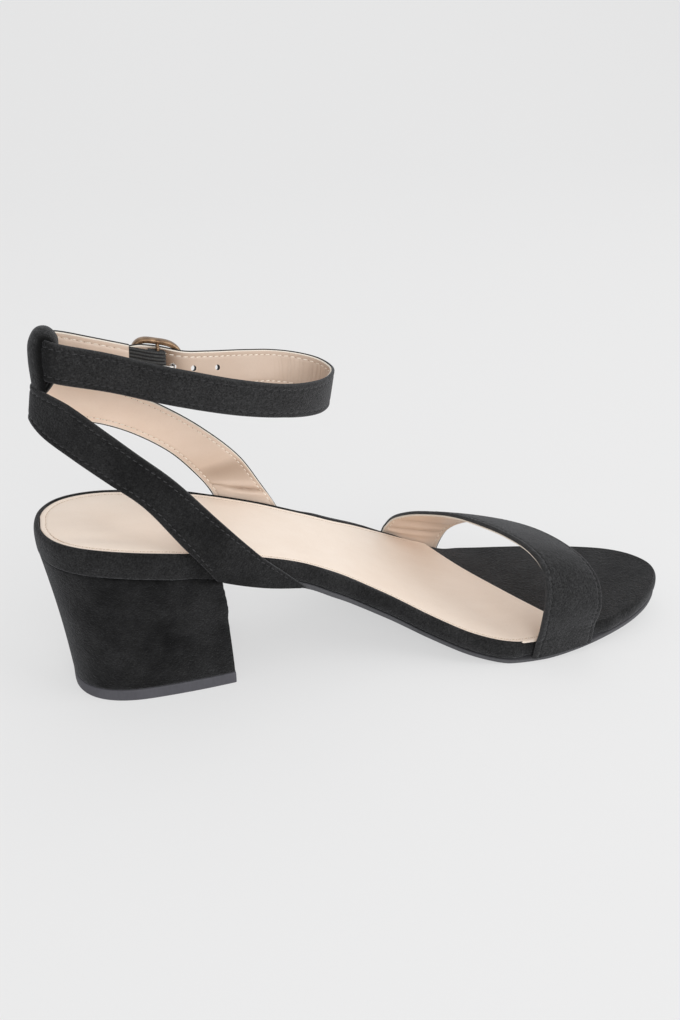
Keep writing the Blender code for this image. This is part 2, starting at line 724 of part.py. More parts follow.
def centre_on_floor(parts, helpers):
    """Hang everything on one empty, so that the box of the whole shoe stands centred on the origin."""
    bpy.context.view_layer.update()
    graph = bpy.context.evaluated_depsgraph_get()
    corners = []
    for obj in parts:
        ready = obj.evaluated_get(graph)
        corners += [tuple(v.co) for v in ready.data.vertices]
    corners = np.asarray(corners)
    low, high = corners.min(axis=0), corners.max(axis=0)
    root = bpy.data.objects.new(NAME + "_root", None)
    parts[0].users_collection[0].objects.link(root)
    root.location = (-(low[0] + high[0]) / 2, -(low[1] + high[1]) / 2, -low[2])
    for obj in parts + helpers:
        obj.parent = root


def main():
    clear_scene()
    collection = bpy.data.collections.new(NAME)
    cutters = bpy.data.collections.new(NAME + "_cutters")
    bpy.context.scene.collection.children.link(collection)
    bpy.context.scene.collection.children.link(cutters)
    parts = [
        build_footbed(collection),
        build_outsole(collection),
        build_sock(collection),
        build_heel_block(collection),
        build_heel_tip(collection),
        build_toe_strap(collection),
        build_sling(collection, cutters),
        build_ankle_strap(collection, cutters),
        build_elastic(collection),
    ]
    parts += build_buckle(collection, cutters)
    for obj in parts:
        paint(obj)
    centre_on_floor(parts, list(cutters.objects))


main()
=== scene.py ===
"""Looks of the block heel sandal, left shoe.

Black suede straps with a beige lining, a suede-wrapped footbed with a beige sock, a covered block heel
and a small antique buckle. Sizes are in millimetres. Stations along the shoe are measured from the back
of the heel seat, the outer side of the foot is +Y, and heights are above the floor.
"""
import math

import bpy
import numpy as np
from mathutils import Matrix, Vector


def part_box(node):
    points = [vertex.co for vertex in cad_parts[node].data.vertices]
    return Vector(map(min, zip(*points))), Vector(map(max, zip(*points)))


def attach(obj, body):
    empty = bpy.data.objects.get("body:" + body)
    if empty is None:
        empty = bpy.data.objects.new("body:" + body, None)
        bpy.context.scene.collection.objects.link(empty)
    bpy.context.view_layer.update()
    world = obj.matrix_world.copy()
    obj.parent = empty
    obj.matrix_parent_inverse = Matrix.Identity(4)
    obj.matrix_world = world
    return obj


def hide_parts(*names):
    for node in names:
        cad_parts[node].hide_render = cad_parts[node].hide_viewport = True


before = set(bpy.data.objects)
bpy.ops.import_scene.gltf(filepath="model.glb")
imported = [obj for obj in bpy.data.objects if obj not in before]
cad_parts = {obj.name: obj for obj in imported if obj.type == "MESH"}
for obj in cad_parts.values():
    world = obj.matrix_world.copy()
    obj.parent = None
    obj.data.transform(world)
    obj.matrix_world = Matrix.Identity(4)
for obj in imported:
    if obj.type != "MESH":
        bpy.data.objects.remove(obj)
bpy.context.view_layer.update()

MM = 0.001

# Footbed and its neighbours
HEEL_END = -1.6
TOE_END = 240.0
LENGTH = TOE_END - HEEL_END
GAP = 0.3
FOOTBED_THICK = 6.4
OUTSOLE_WAIST = 2.4
OUTSOLE_BALL = 1.7
OUTSOLE_EVEN = 150.0
WAIST_END = 125.0
SOCK_THICK = 0.8
TIP_THICK = 4.7
OUTLINE = (
    # x, inner y, outer y
    (-1.6, 0.0, 0.0),
    (0.2, -9.8, 9.8),
    (4.2, -16.2, 16.2),
    (10.6, -20.8, 20.8),
    (21.0, -24.2, 24.0),
    (40.0, -26.2, 24.8),
    (58.0, -26.6, 25.2),
    (75.0, -24.2, 26.4),
    (92.0, -20.6, 29.8),
    (108.0, -19.4, 35.6),
    (122.0, -21.2, 41.4),
    (136.0, -26.8, 44.0),
    (150.0, -33.4, 43.0),
    (165.0, -37.6, 39.8),
    (180.0, -38.6, 35.8),
    (195.0, -37.2, 30.4),
    (208.0, -34.4, 24.4),
    (220.0, -30.4, 17.4),
    (229.0, -25.4, 10.8),
    (235.0, -20.0, 4.2),
    (238.8, -14.4, -3.0),
    (240.0, -9.2, -9.2),
)
PROFILE = (
    # x, height of the footbed's upper face
    (0.0, 65.0),
    (30.0, 61.2),
    (60.0, 55.8),
    (80.0, 48.9),
    (100.0, 38.8),
    (120.0, 26.8),
    (140.0, 16.4),
    (155.0, 10.8),
    (166.0, 8.3),
    (176.0, 8.2),
    (190.0, 9.2),
    (205.0, 11.0),
    (240.0, 16.4),
)
FOOTBED_WALL = (
    # share of the way round the wall, inset from the outline, drop below the upper face
    (0.00, 3.4, 6.4),
    (0.14, 2.0, 6.4),
    (0.24, 0.7, 6.0),
    (0.36, 0.1, 4.5),
    (0.52, 0.0, 2.8),
    (0.68, 0.25, 1.4),
    (0.82, 0.9, 0.45),
    (0.92, 2.0, 0.0),
)
WALL_TOP_SHARE = 0.8      # the rim starts here
RIM_INSET = 0.8
RIM_LEAST = 0.3           # width of the rim where a strap's recess comes close to the sock
RIM_RISE = 1.6            # the wrap's rim above the upper face, a little higher than the sock
RIM_FADE = 16.0
RIM_FRONT_INNER = 180.0
RIM_FRONT_OUTER = 158.0
OUTSOLE_WALL = (
    # inset from the outline, share of the way down
    (1.2, 0.0),
    (0.7, 0.04),
    (0.4, 0.14),
    (0.35, 0.3),
    (0.35, 0.7),
    (0.42, 0.85),
    (0.65, 0.96),
    (1.0, 1.0),
    (2.0, 1.0),
)
RIM_PROFILE = (
    # share of the way in to the sock's edge, share of the rim's height
    (0.35, 0.93),
    (0.60, 1.00),
    (0.80, 0.95),
    (0.92, 0.75),
    (1.00, 0.00),
    (1.25, 0.00),
)
STRAP_RECESS = 1.5
RECESS_SHOULDER = 9.0
WALL_GAP = 0.45
LASTED_RISE = 6.0
RECESSES = (
    # side, first station, last station
    (-1, 51.0, 92.5),
    (1, 62.0, 97.0),
    (1, 137.0, 164.0),
    (-1, 174.0, 201.0),
)

# Sock
SOCK_INSET = (
    # x, inset from the footbed's outline
    (-1.6, 2.2),
    (35.0, 1.9),
    (80.0, 3.0),
    (110.0, 3.2),
    (150.0, 1.9),
    (240.0, 1.7),
)
SOCK_START = 0.035
SOCK_FRONT_INNER = 182.0
SOCK_FRONT_OUTER = 158.0
SOCK_FRONT_BULGE = 6.0
SOCK_CORNER = 0.4
SOCK_SEAM = 1.9           # stitch row inside the sock's edge
SOCK_PAD = 0.25
SOCK_CREASE = 0.55

# Heel
BREAST_TOP = 59.2
BREAST_FOOT = 62.6
HEEL_TOP_INSET = 0.5
HEEL_SEAM_DROP = 8.5       # the footbed's wrap comes down to here over the heel
HEEL_SEAM_FRONT = 66.0
HEEL_SEAM_FADE = 10.0
HEEL_FOOT_BACK = 4.7
HEEL_FOOT_HALF = 22.8
HEEL_FOOT_ROUND = 30.0
HEEL_FOOT_POWER = 2.5
HEEL_FOOT_TAPER = 1.4
HEEL_WAIST = 0.7
HEEL_MIDDLE = np.array([BREAST_FOOT * 0.55, 0.0])
COVER_LIP = 1.1           # width of the suede edge that is turned round onto the breast
COVER_OVERHANG = 0.35     # the turned edge stands proud of the breast
COVER_STEP = 0.45         # step from that edge down to the breast's own face
TIP_LEVELS = (
    # inset from the heel's foot, height
    (1.6, 0.0),
    (0.55, 0.0),
    (0.22, 0.12),
    (0.05, 0.4),
    (0.0, 0.8),
    (0.0, 3.6),
    (0.02, 4.3),
    (0.12, 4.58),
    (0.3, 4.7),
    (1.4, 4.7),
)

# Straps: thickness, then both edges
TOE_STRAP_THICK = 2.0
TOE_STRAP_CROWN = 0.7
TOE_STRAP_PUCKER = 0.05    # the seams pull the suede into fine puckers
TOE_STRAP = (
    # rear x, y, height, front x, y, height
    (137.0, 43.9, 11.4, 162.0, 40.5, 3.0),
    (138.4, 43.9, 17.8, 164.0, 40.1, 10.2),
    (141.0, 40.6, 25.0, 167.2, 38.4, 17.6),
    (145.2, 32.2, 31.4, 171.6, 32.0, 24.4),
    (151.5, 20.0, 37.2, 177.6, 20.0, 30.4),
    (157.4, 8.0, 41.4, 183.0, 8.0, 34.4),
    (162.8, -5.0, 44.0, 189.0, -5.0, 36.6),
    (168.6, -18.0, 45.0, 194.0, -18.0, 36.8),
    (173.2, -28.0, 43.6, 197.6, -28.0, 34.8),
    (175.6, -35.0, 39.6, 199.6, -35.0, 30.4),
    (176.0, -39.4, 31.0, 200.2, -38.4, 23.0),
    (175.0, -39.2, 11.0, 199.8, -36.8, 12.0),
    (174.0, -38.5, 2.2, 199.2, -36.4, 4.0),
)
SLING_THICK = 1.7
SLING_FOOT_BOW = 0.9
SLING_FOOT_SHARE = 0.12
SLING = (
    # lower x, y, height, upper x, y, height
    (57.0, -27.9, 49.0, 90.0, -22.1, 37.2),
    (54.0, -28.0, 53.6, 81.0, -23.8, 46.8),
    (50.4, -27.2, 58.8, 71.0, -23.4, 57.2),
    (45.5, -25.0, 64.8, 61.0, -21.8, 68.4),
    (35.0, -20.6, 77.8, 46.4, -20.2, 85.6),
    (24.6, -16.8, 86.1, 35.3, -18.4, 95.8),
    (14.3, -12.6, 94.4, 25.1, -16.4, 105.1),
    (6.4, -7.0, 100.4, 16.2, -12.8, 112.4),
    (3.2, 0.0, 104.0, 5.6, 0.0, 116.2),
    (6.4, 7.0, 101.2, 16.0, 12.6, 113.0),
    (14.0, 12.4, 97.6, 23.4, 15.6, 109.8),
    (26.0, 16.6, 92.6, 34.6, 18.4, 104.4),
    (36.9, 19.2, 86.3, 46.8, 21.0, 96.4),
    (48.8, 21.6, 76.7, 61.2, 23.8, 84.8),
    (58.1, 24.2, 65.1, 75.4, 27.0, 69.6),
    (62.4, 26.0, 58.2, 83.4, 29.2, 56.0),
    (64.8, 26.6, 53.2, 89.6, 31.0, 44.6),
    (67.0, 26.7, 46.8, 94.6, 31.8, 36.0),
)
KEEPER = (
    # x, height, width, thickness, how far its sides wrap round the ankle strap
    (6.3, 108.5, 10.6, 1.2, 1.0),
    (6.3, 113.0, 11.0, 2.0, 2.6),
    (6.4, 118.0, 11.2, 2.5, 2.9),
    (6.6, 125.0, 11.2, 2.7, 2.8),
    (7.4, 129.9, 11.0, 2.8, 2.6),
    (9.5, 133.2, 10.6, 2.6, 1.9),
    (12.0, 133.4, 10.0, 2.5, 1.6),
    (14.1, 131.0, 9.2, 2.3, 1.2),
    (14.1, 127.0, 8.6, 2.0, 0.5),
    (13.3, 122.0, 8.4, 2.0, 0.4),
    (12.0, 117.6, 8.6, 2.0, 0.6),
    (9.8, 114.6, 9.2, 1.8, 0.6),
    (7.4, 112.4, 9.6, 1.2, 0.4),
)
ANKLE_STRAP_WIDTH = 13.5
ANKLE_STRAP_THICK = 1.6
ANKLE_LOOP = (
    # x, y
    (36.8, 3.1),
    (25.0, 5.2),
    (14.4, 6.7),
    (10.7, 5.0),
    (9.8, 0.0),
    (10.7, -5.0),
    (14.4, -6.9),
    (31.0, -8.4),
    (51.0, -14.2),
    (71.0, -17.4),
    (88.0, -14.8),
    (100.4, -5.9),
    (105.8, 6.6),
    (102.6, 14.8),
    (93.0, 17.2),
    (77.0, 12.4),
    (63.0, 6.4),
    (54.6, 3.7),
    (46.2, 5.75),
    (38.4, 4.9),
    (33.0, 5.6),
)
ANKLE_TOP = (
    # x, height of its upper edge
    (0.0, 134.6),
    (20.0, 129.6),
    (40.0, 124.5),
    (60.0, 120.1),
    (75.0, 116.8),
    (90.0, 113.5),
    (110.0, 109.2),
)
ANKLE_LEAN = (
    # x, degrees forward, degrees of flare at the upper edge on the inner side and on the outer side
    (9.0, 8.0, 0.0, 0.0),
    (34.0, 5.0, 5.5, 10.6),
    (56.0, 2.5, 6.0, 11.6),
    (72.0, 1.0, 10.5, 18.0),
    (85.0, 0.0, 14.5, 24.0),
    (110.0, 0.0, 7.0, 7.0),
)
ANKLE_MIDDLE = (
    # x, y of the loop's middle line
    (0.0, 0.0),
    (30.0, -1.5),
    (50.0, -4.0),
    (75.0, -4.0),
    (90.0, 1.0),
    (110.0, 6.0),
)
OUTER_SIDE = 20.0
ANKLE_ROUND = 84.0
TOP_OF_LOOP = 106.0
FREE_END_FROM = 41.0
FREE_END_DROP = 1.2
HOLE_STATIONS = (51.4, 57.7, 65.9)
HOLE_RISE = 0.9
HOLE_RADIUS = 1.0

# Buckle and elastic
BUCKLE_STATION = 46.2
BUCKLE_FALL = 0.23
BAR_Y = 3.0
BAR_RADIUS = 0.6
FRAME_RADIUS = 0.9
FRAME_DEPTH = (2.2, 3.3)   # of the band, at the ends and along the sides
FRAME_HALF_LENGTH = 8.3
FRAME_HALF_HEIGHT = 8.2
FRAME_BOW_FRONT = 2.8
FRAME_BOW_REAR = 3.9
FRAME_BOW_MIDDLE = 2.5
FRAME_ROUND = 0.68
PRONG_RADIUS = 0.55
ELASTIC_WIDTH = 13.4
ELASTIC_THICK = 0.6
ELASTIC_CLEAR = 0.12
ELASTIC_DROP = 0.75
ELASTIC_AHEAD = 2.2       # the loop's front end stands this far ahead of the bar
ELASTIC_REAR = 34.5
ELASTIC_RIBS = 12
ELASTIC_RIB_HEIGHT = 0.26

# Seams
SEAM_IN = 2.1             # stitch row inside a strap's edge
SEAM_PITCH = 2.4
SEAM_SINK = 0.2           # depth of the groove that the thread pulls in
STITCH_SIZE = (1.7, 0.42, 0.4)
PRICK_SIZE = (0.5, 0.4, 0.14)
EDGE_ROUND = 0.75         # rounding of a strap's outer face at its edge
# A crease of the lining this deep gets the full painted shade
FOLD_DEPTH = 2.2          # a crease of the lining this deep is fully dark
LINING_BACK = 0.4         # the lining's cut edge stands back from the suede's
LINING_ROUND = 0.2
SEAM_HALF = 0.38          # half width of the seam's groove
PUCKER_PITCH = 3.7
STITCH_SLANT = 0.14
STITCH_SINK = 0.04
PRICK_SINK = 0.02
NEAR_EDGE = (0.0, 0.05, 0.16, 0.34, 0.6, 0.95, 1.35, 1.65, 1.9, 2.1, 2.3, 2.55, 2.9, 3.4, 4.2)
NEAR_LINING = (0.0, 0.02, 0.06, 0.16, 0.36)
SUEDE_SIDE, LINING_SIDE, CUT_EDGE = range(3)
FAR_FROM_EDGE = 9.0
MERGE = 0.002             # points closer than this are one

# Folds of the linings, and painted shade on the linings and on the suede by the keeper
SLING_FOLDS = (
    # way up from the foot's end, half width, height, slope, share across, half share
    (14.6, 1.2, 0.70, 0.12, 0.30, 0.30),
    (16.8, 0.9, -0.85, 0.18, 0.34, 0.30),
    (17.6, 0.8, -0.60, 0.45, 0.82, 0.13),
    (19.4, 1.6, 0.65, 0.22, 0.45, 0.40),
    (27.5, 5.5, -0.65, 0.18, 0.45, 0.55),
    (38.5, 6.5, 0.45, 0.15, 0.50, 0.60),
)
TOE_FOLDS = (
    # way up from the foot's end, half width, height, slope, share across, half share
    (9.5, 0.9, 0.35, 0.05, 0.40, 0.40),
    (11.8, 0.8, -0.40, 0.08, 0.45, 0.40),
    (14.5, 1.1, 0.30, 0.10, 0.60, 0.35),
    (19.0, 1.8, -0.30, 0.12, 0.50, 0.45),
)
ANKLE_CREASES_FROM = 132.0   # way along the strap where the lining starts to crease
ANKLE_CREASES_TO = 178.0
# Painted shade on the linings of the toe strap and the sling, darker towards their feet
TOE_SHADE = (0.05, 0.25, 26.0, 16.0)    # least, added by a foot, way up where that starts, reach
SLING_SHADE = (0.0, 0.46, 80.0, 60.0)
# Painted shade on the ankle strap's lining: broad on its outer side, and a painted shadow just ahead of the
# elastic's front end
OUTER_SHADE = 0.32        # on the ankle strap's outer side
OUTER_SHADE_REACH = 40.0
BUCKLE_SHADE = 0.66
BUCKLE_SHADE_HALF = 5.6
BUCKLE_SHADE_AHEAD = 2.0
# Painted shade on the ankle strap's suede where it turns inside the keeper
KEEPER_SHADE_X = 9.8
KEEPER_SHADE_HALF = 3.0

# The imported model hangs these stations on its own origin
tip_low, tip_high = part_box("heel_tip")
SHIFT = np.array([
    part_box("footbed")[0].x / MM - HEEL_END,
    (tip_low.y + tip_high.y) / 2 / MM,
    0.0,
])


def smooth(stations, values, at):
    """Smooth curve through the rows of a short table."""
    s = np.asarray(stations, float)
    v = np.asarray(values, float)
    slope = np.gradient(v, s)
    at = np.clip(np.asarray(at, float), s[0], s[-1])
    i = np.clip(np.searchsorted(s, at) - 1, 0, len(s) - 2)
    h = s[i + 1] - s[i]
    t = (at - s[i]) / h
    start = (2 * t ** 3 - 3 * t ** 2 + 1) * v[i] + (t ** 3 - 2 * t ** 2 + t) * h * slope[i]
    end = (3 * t ** 2 - 2 * t ** 3) * v[i + 1] + (t ** 3 - t ** 2) * h * slope[i + 1]
    return start + end


def columns(table):
    return np.asarray(table, float).T


def turn_of(x):
    return np.arccos(np.clip(1 - 2 * (np.asarray(x, float) - HEEL_END) / LENGTH, -1, 1))


OUT_X, OUT_INNER, OUT_OUTER = columns(OUTLINE)
OUT_TURN = turn_of(OUT_X)


def inner_y(x):
    return smooth(OUT_TURN, OUT_INNER, turn_of(x))


def outer_y(x):
    return smooth(OUT_TURN, OUT_OUTER, turn_of(x))


def top_z(x):
    """Height of the footbed's upper face."""
    return smooth(*columns(PROFILE), x)


def plan(turn):
    """Outline of the footbed by turn: 0 at the heel, pi at the toe, the outer side first."""
    turn = np.mod(turn, 2 * math.pi)
    outer = turn <= math.pi
    a = np.where(outer, turn, 2 * math.pi - turn)
    x = HEEL_END + LENGTH / 2 * (1 - np.cos(a))
    y = np.where(outer, smooth(OUT_TURN, OUT_OUTER, a), smooth(OUT_TURN, OUT_INNER, a))
    return np.stack([x, y], -1)


def ease(t):
    t = np.clip(t, 0, 1)
    return t * t * (3 - 2 * t)


def unit(vectors):
    """Vectors scaled to length one."""
    return vectors / np.linalg.norm(vectors, axis=-1, keepdims=True)


def recess(turn):
    """Depth of the recesses in the footbed's wall that take the feet of the straps."""
    x = plan(turn)[:, 0]
    depth = np.zeros_like(x)
    for side, first, last in RECESSES:
        rise = np.clip((x - first) / RECESS_SHOULDER + 1, 0, 1)
        fall = np.clip((last - x) / RECESS_SHOULDER + 1, 0, 1)
        here = STRAP_RECESS * ease(np.minimum(rise, fall))
        depth = np.where(np.where(turn < math.pi, 1, -1) == side, np.maximum(depth, here), depth)
    return depth


def inset_plan(turn, inset):
    """Outline of the footbed, moved in by the given amount."""
    step = 0.02
    along = unit(plan(turn + step) - plan(turn - step))
    outward = np.stack([-along[:, 1], along[:, 0]], -1)
    return plan(turn) - outward * np.reshape(inset, (-1, 1))


def run_of(points):
    """Distance along a line of points."""
    return np.concatenate([[0], np.cumsum(np.linalg.norm(np.diff(points, axis=0), axis=1))])


def read_off(values, run, at):
    """Columns of values that lie along a run, read off at the given distances."""
    return np.stack([np.interp(at, run, c) for c in values.T], -1)


def path_through(rows, count):
    """Even steps along a smooth path through the rows of a table, whose first three columns are places."""
    rows = np.asarray(rows, float)
    step = np.linalg.norm(np.diff(rows[:, :3], axis=0), axis=1) ** 0.5
    run = np.concatenate([[0], np.cumsum(step)])
    fine = np.linspace(0, run[-1], 40 * len(rows))
    dense = np.stack([smooth(run, c, fine) for c in rows.T], -1)
    length = run_of(dense[:, :3])
    return read_off(dense, length, np.linspace(0, length[-1], count))


def nearest_edge(distance, width):
    """Distance from the nearer of two edges."""
    return np.minimum(distance, width - distance)


def lasted(points, thickness):
    """Lay the foot of a strap into its recess in the footbed's wall, and let it come free above the rim."""
    points = points.copy()
    x, y, z = points[..., 0], points[..., 1], points[..., 2]
    reach = WALL_GAP + thickness / 2 - STRAP_RECESS
    wall = np.where(y > 0, outer_y(x) + reach, inner_y(x) - reach)
    points[..., 1] += (wall - y) * ease(1 - (z - top_z(x)) / LASTED_RISE)
    return points


def laid_grid(name, places, uv, edge=None, painted_shade=None):
    """Grid primitive with its points moved to the given places, rows along the piece and columns across.

    uv holds each point's place on the flat piece in millimetres, edge its distance from the nearest edge,
    and the last argument how much painted shade darkens its colour, in creases and other shaded places.
    """
    rows, cols = places.shape[:2]
    bpy.ops.object.select_all(action="DESELECT")
    bpy.ops.mesh.primitive_grid_add(x_subdivisions=cols - 1, y_subdivisions=rows - 1, size=1.0)
    obj = bpy.context.object
    obj.name = name
    mesh = obj.data
    mesh.name = name
    flat = np.empty(len(mesh.vertices) * 3)
    mesh.vertices.foreach_get("co", flat)
    flat = flat.reshape(-1, 3)
    col = np.rint((flat[:, 0] + 0.5) * (cols - 1)).astype(int)
    row = np.rint((flat[:, 1] + 0.5) * (rows - 1)).astype(int)
    mesh.vertices.foreach_set("co", ((places[row, col] + SHIFT) * MM).ravel())
    corner = np.empty(len(mesh.loops), int)
    mesh.loops.foreach_get("vertex_index", corner)
    mesh.uv_layers.active.data.foreach_set("uv", (uv[row, col] * MM)[corner].ravel())
    for mark, values, usual in (("edge", edge, FAR_FROM_EDGE), ("painted_shade", painted_shade, 0.0)):
        values = np.full((rows, cols), usual) if values is None else values
        layer = mesh.attributes.new(mark, "FLOAT", "POINT")
        layer.data.foreach_set("value", values[row, col].astype(float))
    face_col = col[corner].reshape(-1, 4).min(axis=1)
    mesh.update()
    return obj, face_col


def close_up(obj, angle=60):
    """Merge the places where a laid grid meets itself, face everything outwards and shade it smooth."""
    bpy.ops.object.mode_set(mode="EDIT")
    bpy.ops.mesh.select_all(action="SELECT")
    bpy.ops.mesh.remove_doubles(threshold=MERGE * MM)
    bpy.ops.mesh.normals_make_consistent(inside=False)
    bpy.ops.object.mode_set(mode="OBJECT")
    bpy.ops.object.shade_smooth_by_angle(angle=math.radians(angle))
    return obj


def closed_loft(name, rings, finishes, finish_of_column=None, uv=None, edge=None, painted_shade=None, angle=60):
    """Closed body through rings.

    Points k and n-1-k of a ring lie across from each other, which closes the ends.
    """
    count = rings.shape[1]
    shut = np.arange(count + 1) % count
    if uv is None:
        around = run_of(rings[len(rings) // 2])
        along = run_of(rings.mean(axis=1))
        uv = np.stack(np.broadcast_arrays(around[None, :], along[:, None]), -1)

    def to_the_ends(values):
        if values is None:
            return None
        return np.concatenate([values[:1], values, values[-1:]])[:, shut]

    first, last = ((ring + ring[::-1]) / 2 for ring in (rings[0], rings[-1]))
    rows = np.concatenate([first[None], rings, last[None]])[:, shut]
    obj, face_col = laid_grid(name, rows, to_the_ends(uv), to_the_ends(edge), to_the_ends(painted_shade))
    for finish in finishes:
        obj.data.materials.append(finish)
    if finish_of_column is not None:
        obj.data.polygons.foreach_set("material_index", np.asarray(finish_of_column)[face_col])
    return close_up(obj, angle)


def surface_normals(grid):
    return unit(np.cross(np.gradient(grid, axis=0), np.gradient(grid, axis=1)))


def band_profile(width, thickness):
    """Cross-section of a lined strap.

    Gives distances from one edge and heights, for its suede side and for its lining side.
    """
    near = np.array(NEAR_EDGE)
    inside = np.linspace(near[-1], width - near[-1], 9)[1:-1]
    d_suede = np.concatenate([near, inside, width - near[::-1]])
    from_edge = nearest_edge(d_suede, width)
    rounded = np.sqrt(1 - (1 - np.clip(from_edge / EDGE_ROUND, 0, 1)) ** 2)
    sink = SEAM_SINK * np.exp(-((from_edge - SEAM_IN) / SEAM_HALF) ** 2)
    suede = thickness * (-0.16 + 0.66 * rounded) - sink
    near[:len(NEAR_LINING)] = LINING_BACK + np.array(NEAR_LINING)
    d_lining = np.concatenate([near, inside, width - near[::-1]])
    from_edge = nearest_edge(d_lining, width)
    squared = np.clip(1 - (1 - np.clip((from_edge - LINING_BACK) / LINING_ROUND, 0, 1)) ** 3, 0, 1)
    sink = 0.8 * SEAM_SINK * np.exp(-((from_edge - SEAM_IN) / SEAM_HALF) ** 2)
    lining = -thickness * (0.18 + 0.32 * squared) + sink
    return d_suede, suede, d_lining, lining


def lined_band(name, grid, thickness, finishes, relief, shade, tuck=None, pucker=0.0):
    """Strap along a grid of points on its middle surface, whose normals point to the suede side.

    relief gives the height of folds in the lining, shade the painted shade on the lining along the strap,
    tuck the painted shade on the suede side, and pucker how far the seams pull the suede up. The valleys of
    the lining's folds get painted shade as well. Returns the strap and the lines that its stitches follow,
    on the suede and on the lining.
    """
    both = np.concatenate([grid, surface_normals(grid)], -1)
    rings, edges, creases, flats = [], [], [], []
    seams = {"suede": ([], []), "lining": ([], [])}
    for row, along in zip(both, run_of(grid[:, grid.shape[1] // 2])):
        run = run_of(row[:, :3])
        width = run[-1]
        d_suede, suede, d_lining, lining = band_profile(width, thickness)
        raised = relief(along, d_lining, width)
        from_seam = nearest_edge(d_suede, width) - SEAM_IN
        pulled = math.sin(2 * math.pi * along / SEAM_PITCH)
        pulled += 0.6 * math.sin(2 * math.pi * along / PUCKER_PITCH)
        beside = np.exp(-((from_seam - 0.8) / 1.7) ** 2) * ease((from_seam + SEAM_IN) / 1.5)
        suede = suede + pucker * pulled * beside
        outer = read_off(row, run, d_suede)
        inner = read_off(row, run, d_lining)
        outer_points = outer[:, :3] + outer[:, 3:] * suede[:, None]
        inner_points = inner[:, :3] + inner[:, 3:] * (lining - raised)[:, None]
        rings.append(np.concatenate([outer_points, inner_points[::-1]]))
        across = np.concatenate([d_suede, d_lining[::-1]])
        edges.append(nearest_edge(across, width))
        # painted shade of the lining: dark in the valleys of its folds, plus the painted shade along the
        # strap
        dark = np.clip(np.clip(-raised / FOLD_DEPTH, 0, 1) + shade(along), 0, 1)
        # painted shade on the suede side
        painted_suede_shade = 0.0 if tuck is None else tuck(along)
        creases.append(np.concatenate([np.full(len(d_suede), painted_suede_shade), dark[::-1]]))
        flats.append(np.column_stack([across, np.full(len(across), along)]))
        at = int(np.argmin(np.abs(d_suede - SEAM_IN)))
        for side, points, facing in (("suede", outer_points, 1), ("lining", inner_points, -1)):
            for line, k in zip(seams[side], (at, len(d_suede) - 1 - at)):
                line.append(np.concatenate([points[k], facing * outer[k, 3:]]))
    n = len(rings[0]) // 2
    kind = np.full(2 * n, SUEDE_SIDE)
    kind[n:] = LINING_SIDE
    kind[n:n + 4] = CUT_EDGE
    kind[2 * n - 5:2 * n - 1] = CUT_EDGE
    kind[[n - 1, 2 * n - 1]] = SUEDE_SIDE
    rings, flats, edges, creases = (np.array(rows) for rows in (rings, flats, edges, creases))
    strap = closed_loft(name, rings, finishes, kind, flats, edges, creases)
    lines = {side: [np.array(line) for line in pair] for side, pair in seams.items()}
    return strap, lines


def one_bump(size):
    """A single small bump at the origin, of the given length, width and height, as points and faces."""
    bpy.ops.object.select_all(action="DESELECT")
    bpy.ops.mesh.primitive_uv_sphere_add(segments=8, ring_count=6, radius=0.5)
    bump = bpy.context.object
    bpy.ops.object.mode_set(mode="EDIT")
    bpy.ops.mesh.select_all(action="SELECT")
    bpy.ops.transform.rotate(value=math.pi / 2, orient_axis="Y", center_override=(0, 0, 0))
    bpy.ops.transform.resize(value=size)
    bpy.ops.object.mode_set(mode="OBJECT")
    points = np.array([v.co for v in bump.data.vertices])
    faces = [tuple(p.vertices) for p in bump.data.polygons]
    bpy.data.objects.remove(bump, do_unlink=True)
    return points, faces


def sewing_line(line, first, last, offset, sink):
    """Places and directions of the stitches along a line of points with normals, between two shares."""
    run = run_of(line[:, :3])
    count = int((last - first) * run[-1] / SEAM_PITCH)
    at = first * run[-1] + (np.arange(count) + offset) * SEAM_PITCH
    where = read_off(line, run, at)
    along = unit(read_off(line[:, :3], run, at + 0.5) - read_off(line[:, :3], run, at - 0.5))
    up = unit(where[:, 3:])
    side = np.cross(up, along)
    turned = along * math.cos(STITCH_SLANT) + side * math.sin(STITCH_SLANT)
    return where[:, :3] - up * sink, turned, np.cross(up, turned), up


def bumps_along(name, bump, rows, finish):
    """Copies of one bump at all the given places, as a single mesh."""
    points, faces = bump
    verts, loops = [], []
    for place, along, side, up in zip(*[np.concatenate(parts) for parts in zip(*rows)]):
        base = len(verts) * len(points)
        verts.append(place + points[:, :1] * along + points[:, 1:2] * side + points[:, 2:] * up)
        loops += [tuple(base + k for k in face) for face in faces]
    mesh = bpy.data.meshes.new(name)
    mesh.from_pydata(((np.concatenate(verts) + SHIFT) * MM).tolist(), [], loops)
    obj = bpy.data.objects.new(name, mesh)
    bpy.context.scene.collection.objects.link(obj)
    mesh.materials.append(finish)
    mesh.shade_smooth()
    return obj


def sew(name, lines, margin, thread_finish, prick_shade_finish, slot):
    """A row of stitches along each line, with the needle's pricks between them: small dark bumps whose
    colour is painted shade in the needle holes.

    margin is the share of a line that stays free at both of its ends.
    """
    for kind, bump, finish, offset, sink in (
        ("_stitches", STITCH, thread_finish, 0.5, STITCH_SINK),
        ("_pricks", PRICK, prick_shade_finish, 1.0, PRICK_SINK),
    ):
        rows = [sewing_line(line, margin, 1 - margin, offset, sink) for line in lines]
        keep(bumps_along(name + kind, bump, rows, finish), slot)


def sew_strap(name, seams, suede_margin, lining_margin):
    """Stitch rows on the suede and on the lining of a strap."""
    sew(name, seams["suede"], suede_margin, BLACK_THREAD, SUEDE_PRICK_SHADE, "suede")
    sew(name + "_lining", seams["lining"], lining_margin, CREAM_THREAD, LINING_PRICK_SHADE, "sock_leather")


def keep(obj, slot, *nodes):
    """Hang a finished piece on the shoe."""
    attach(obj, "root")
    if nodes:
        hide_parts(*nodes)
    return obj


# Finishes


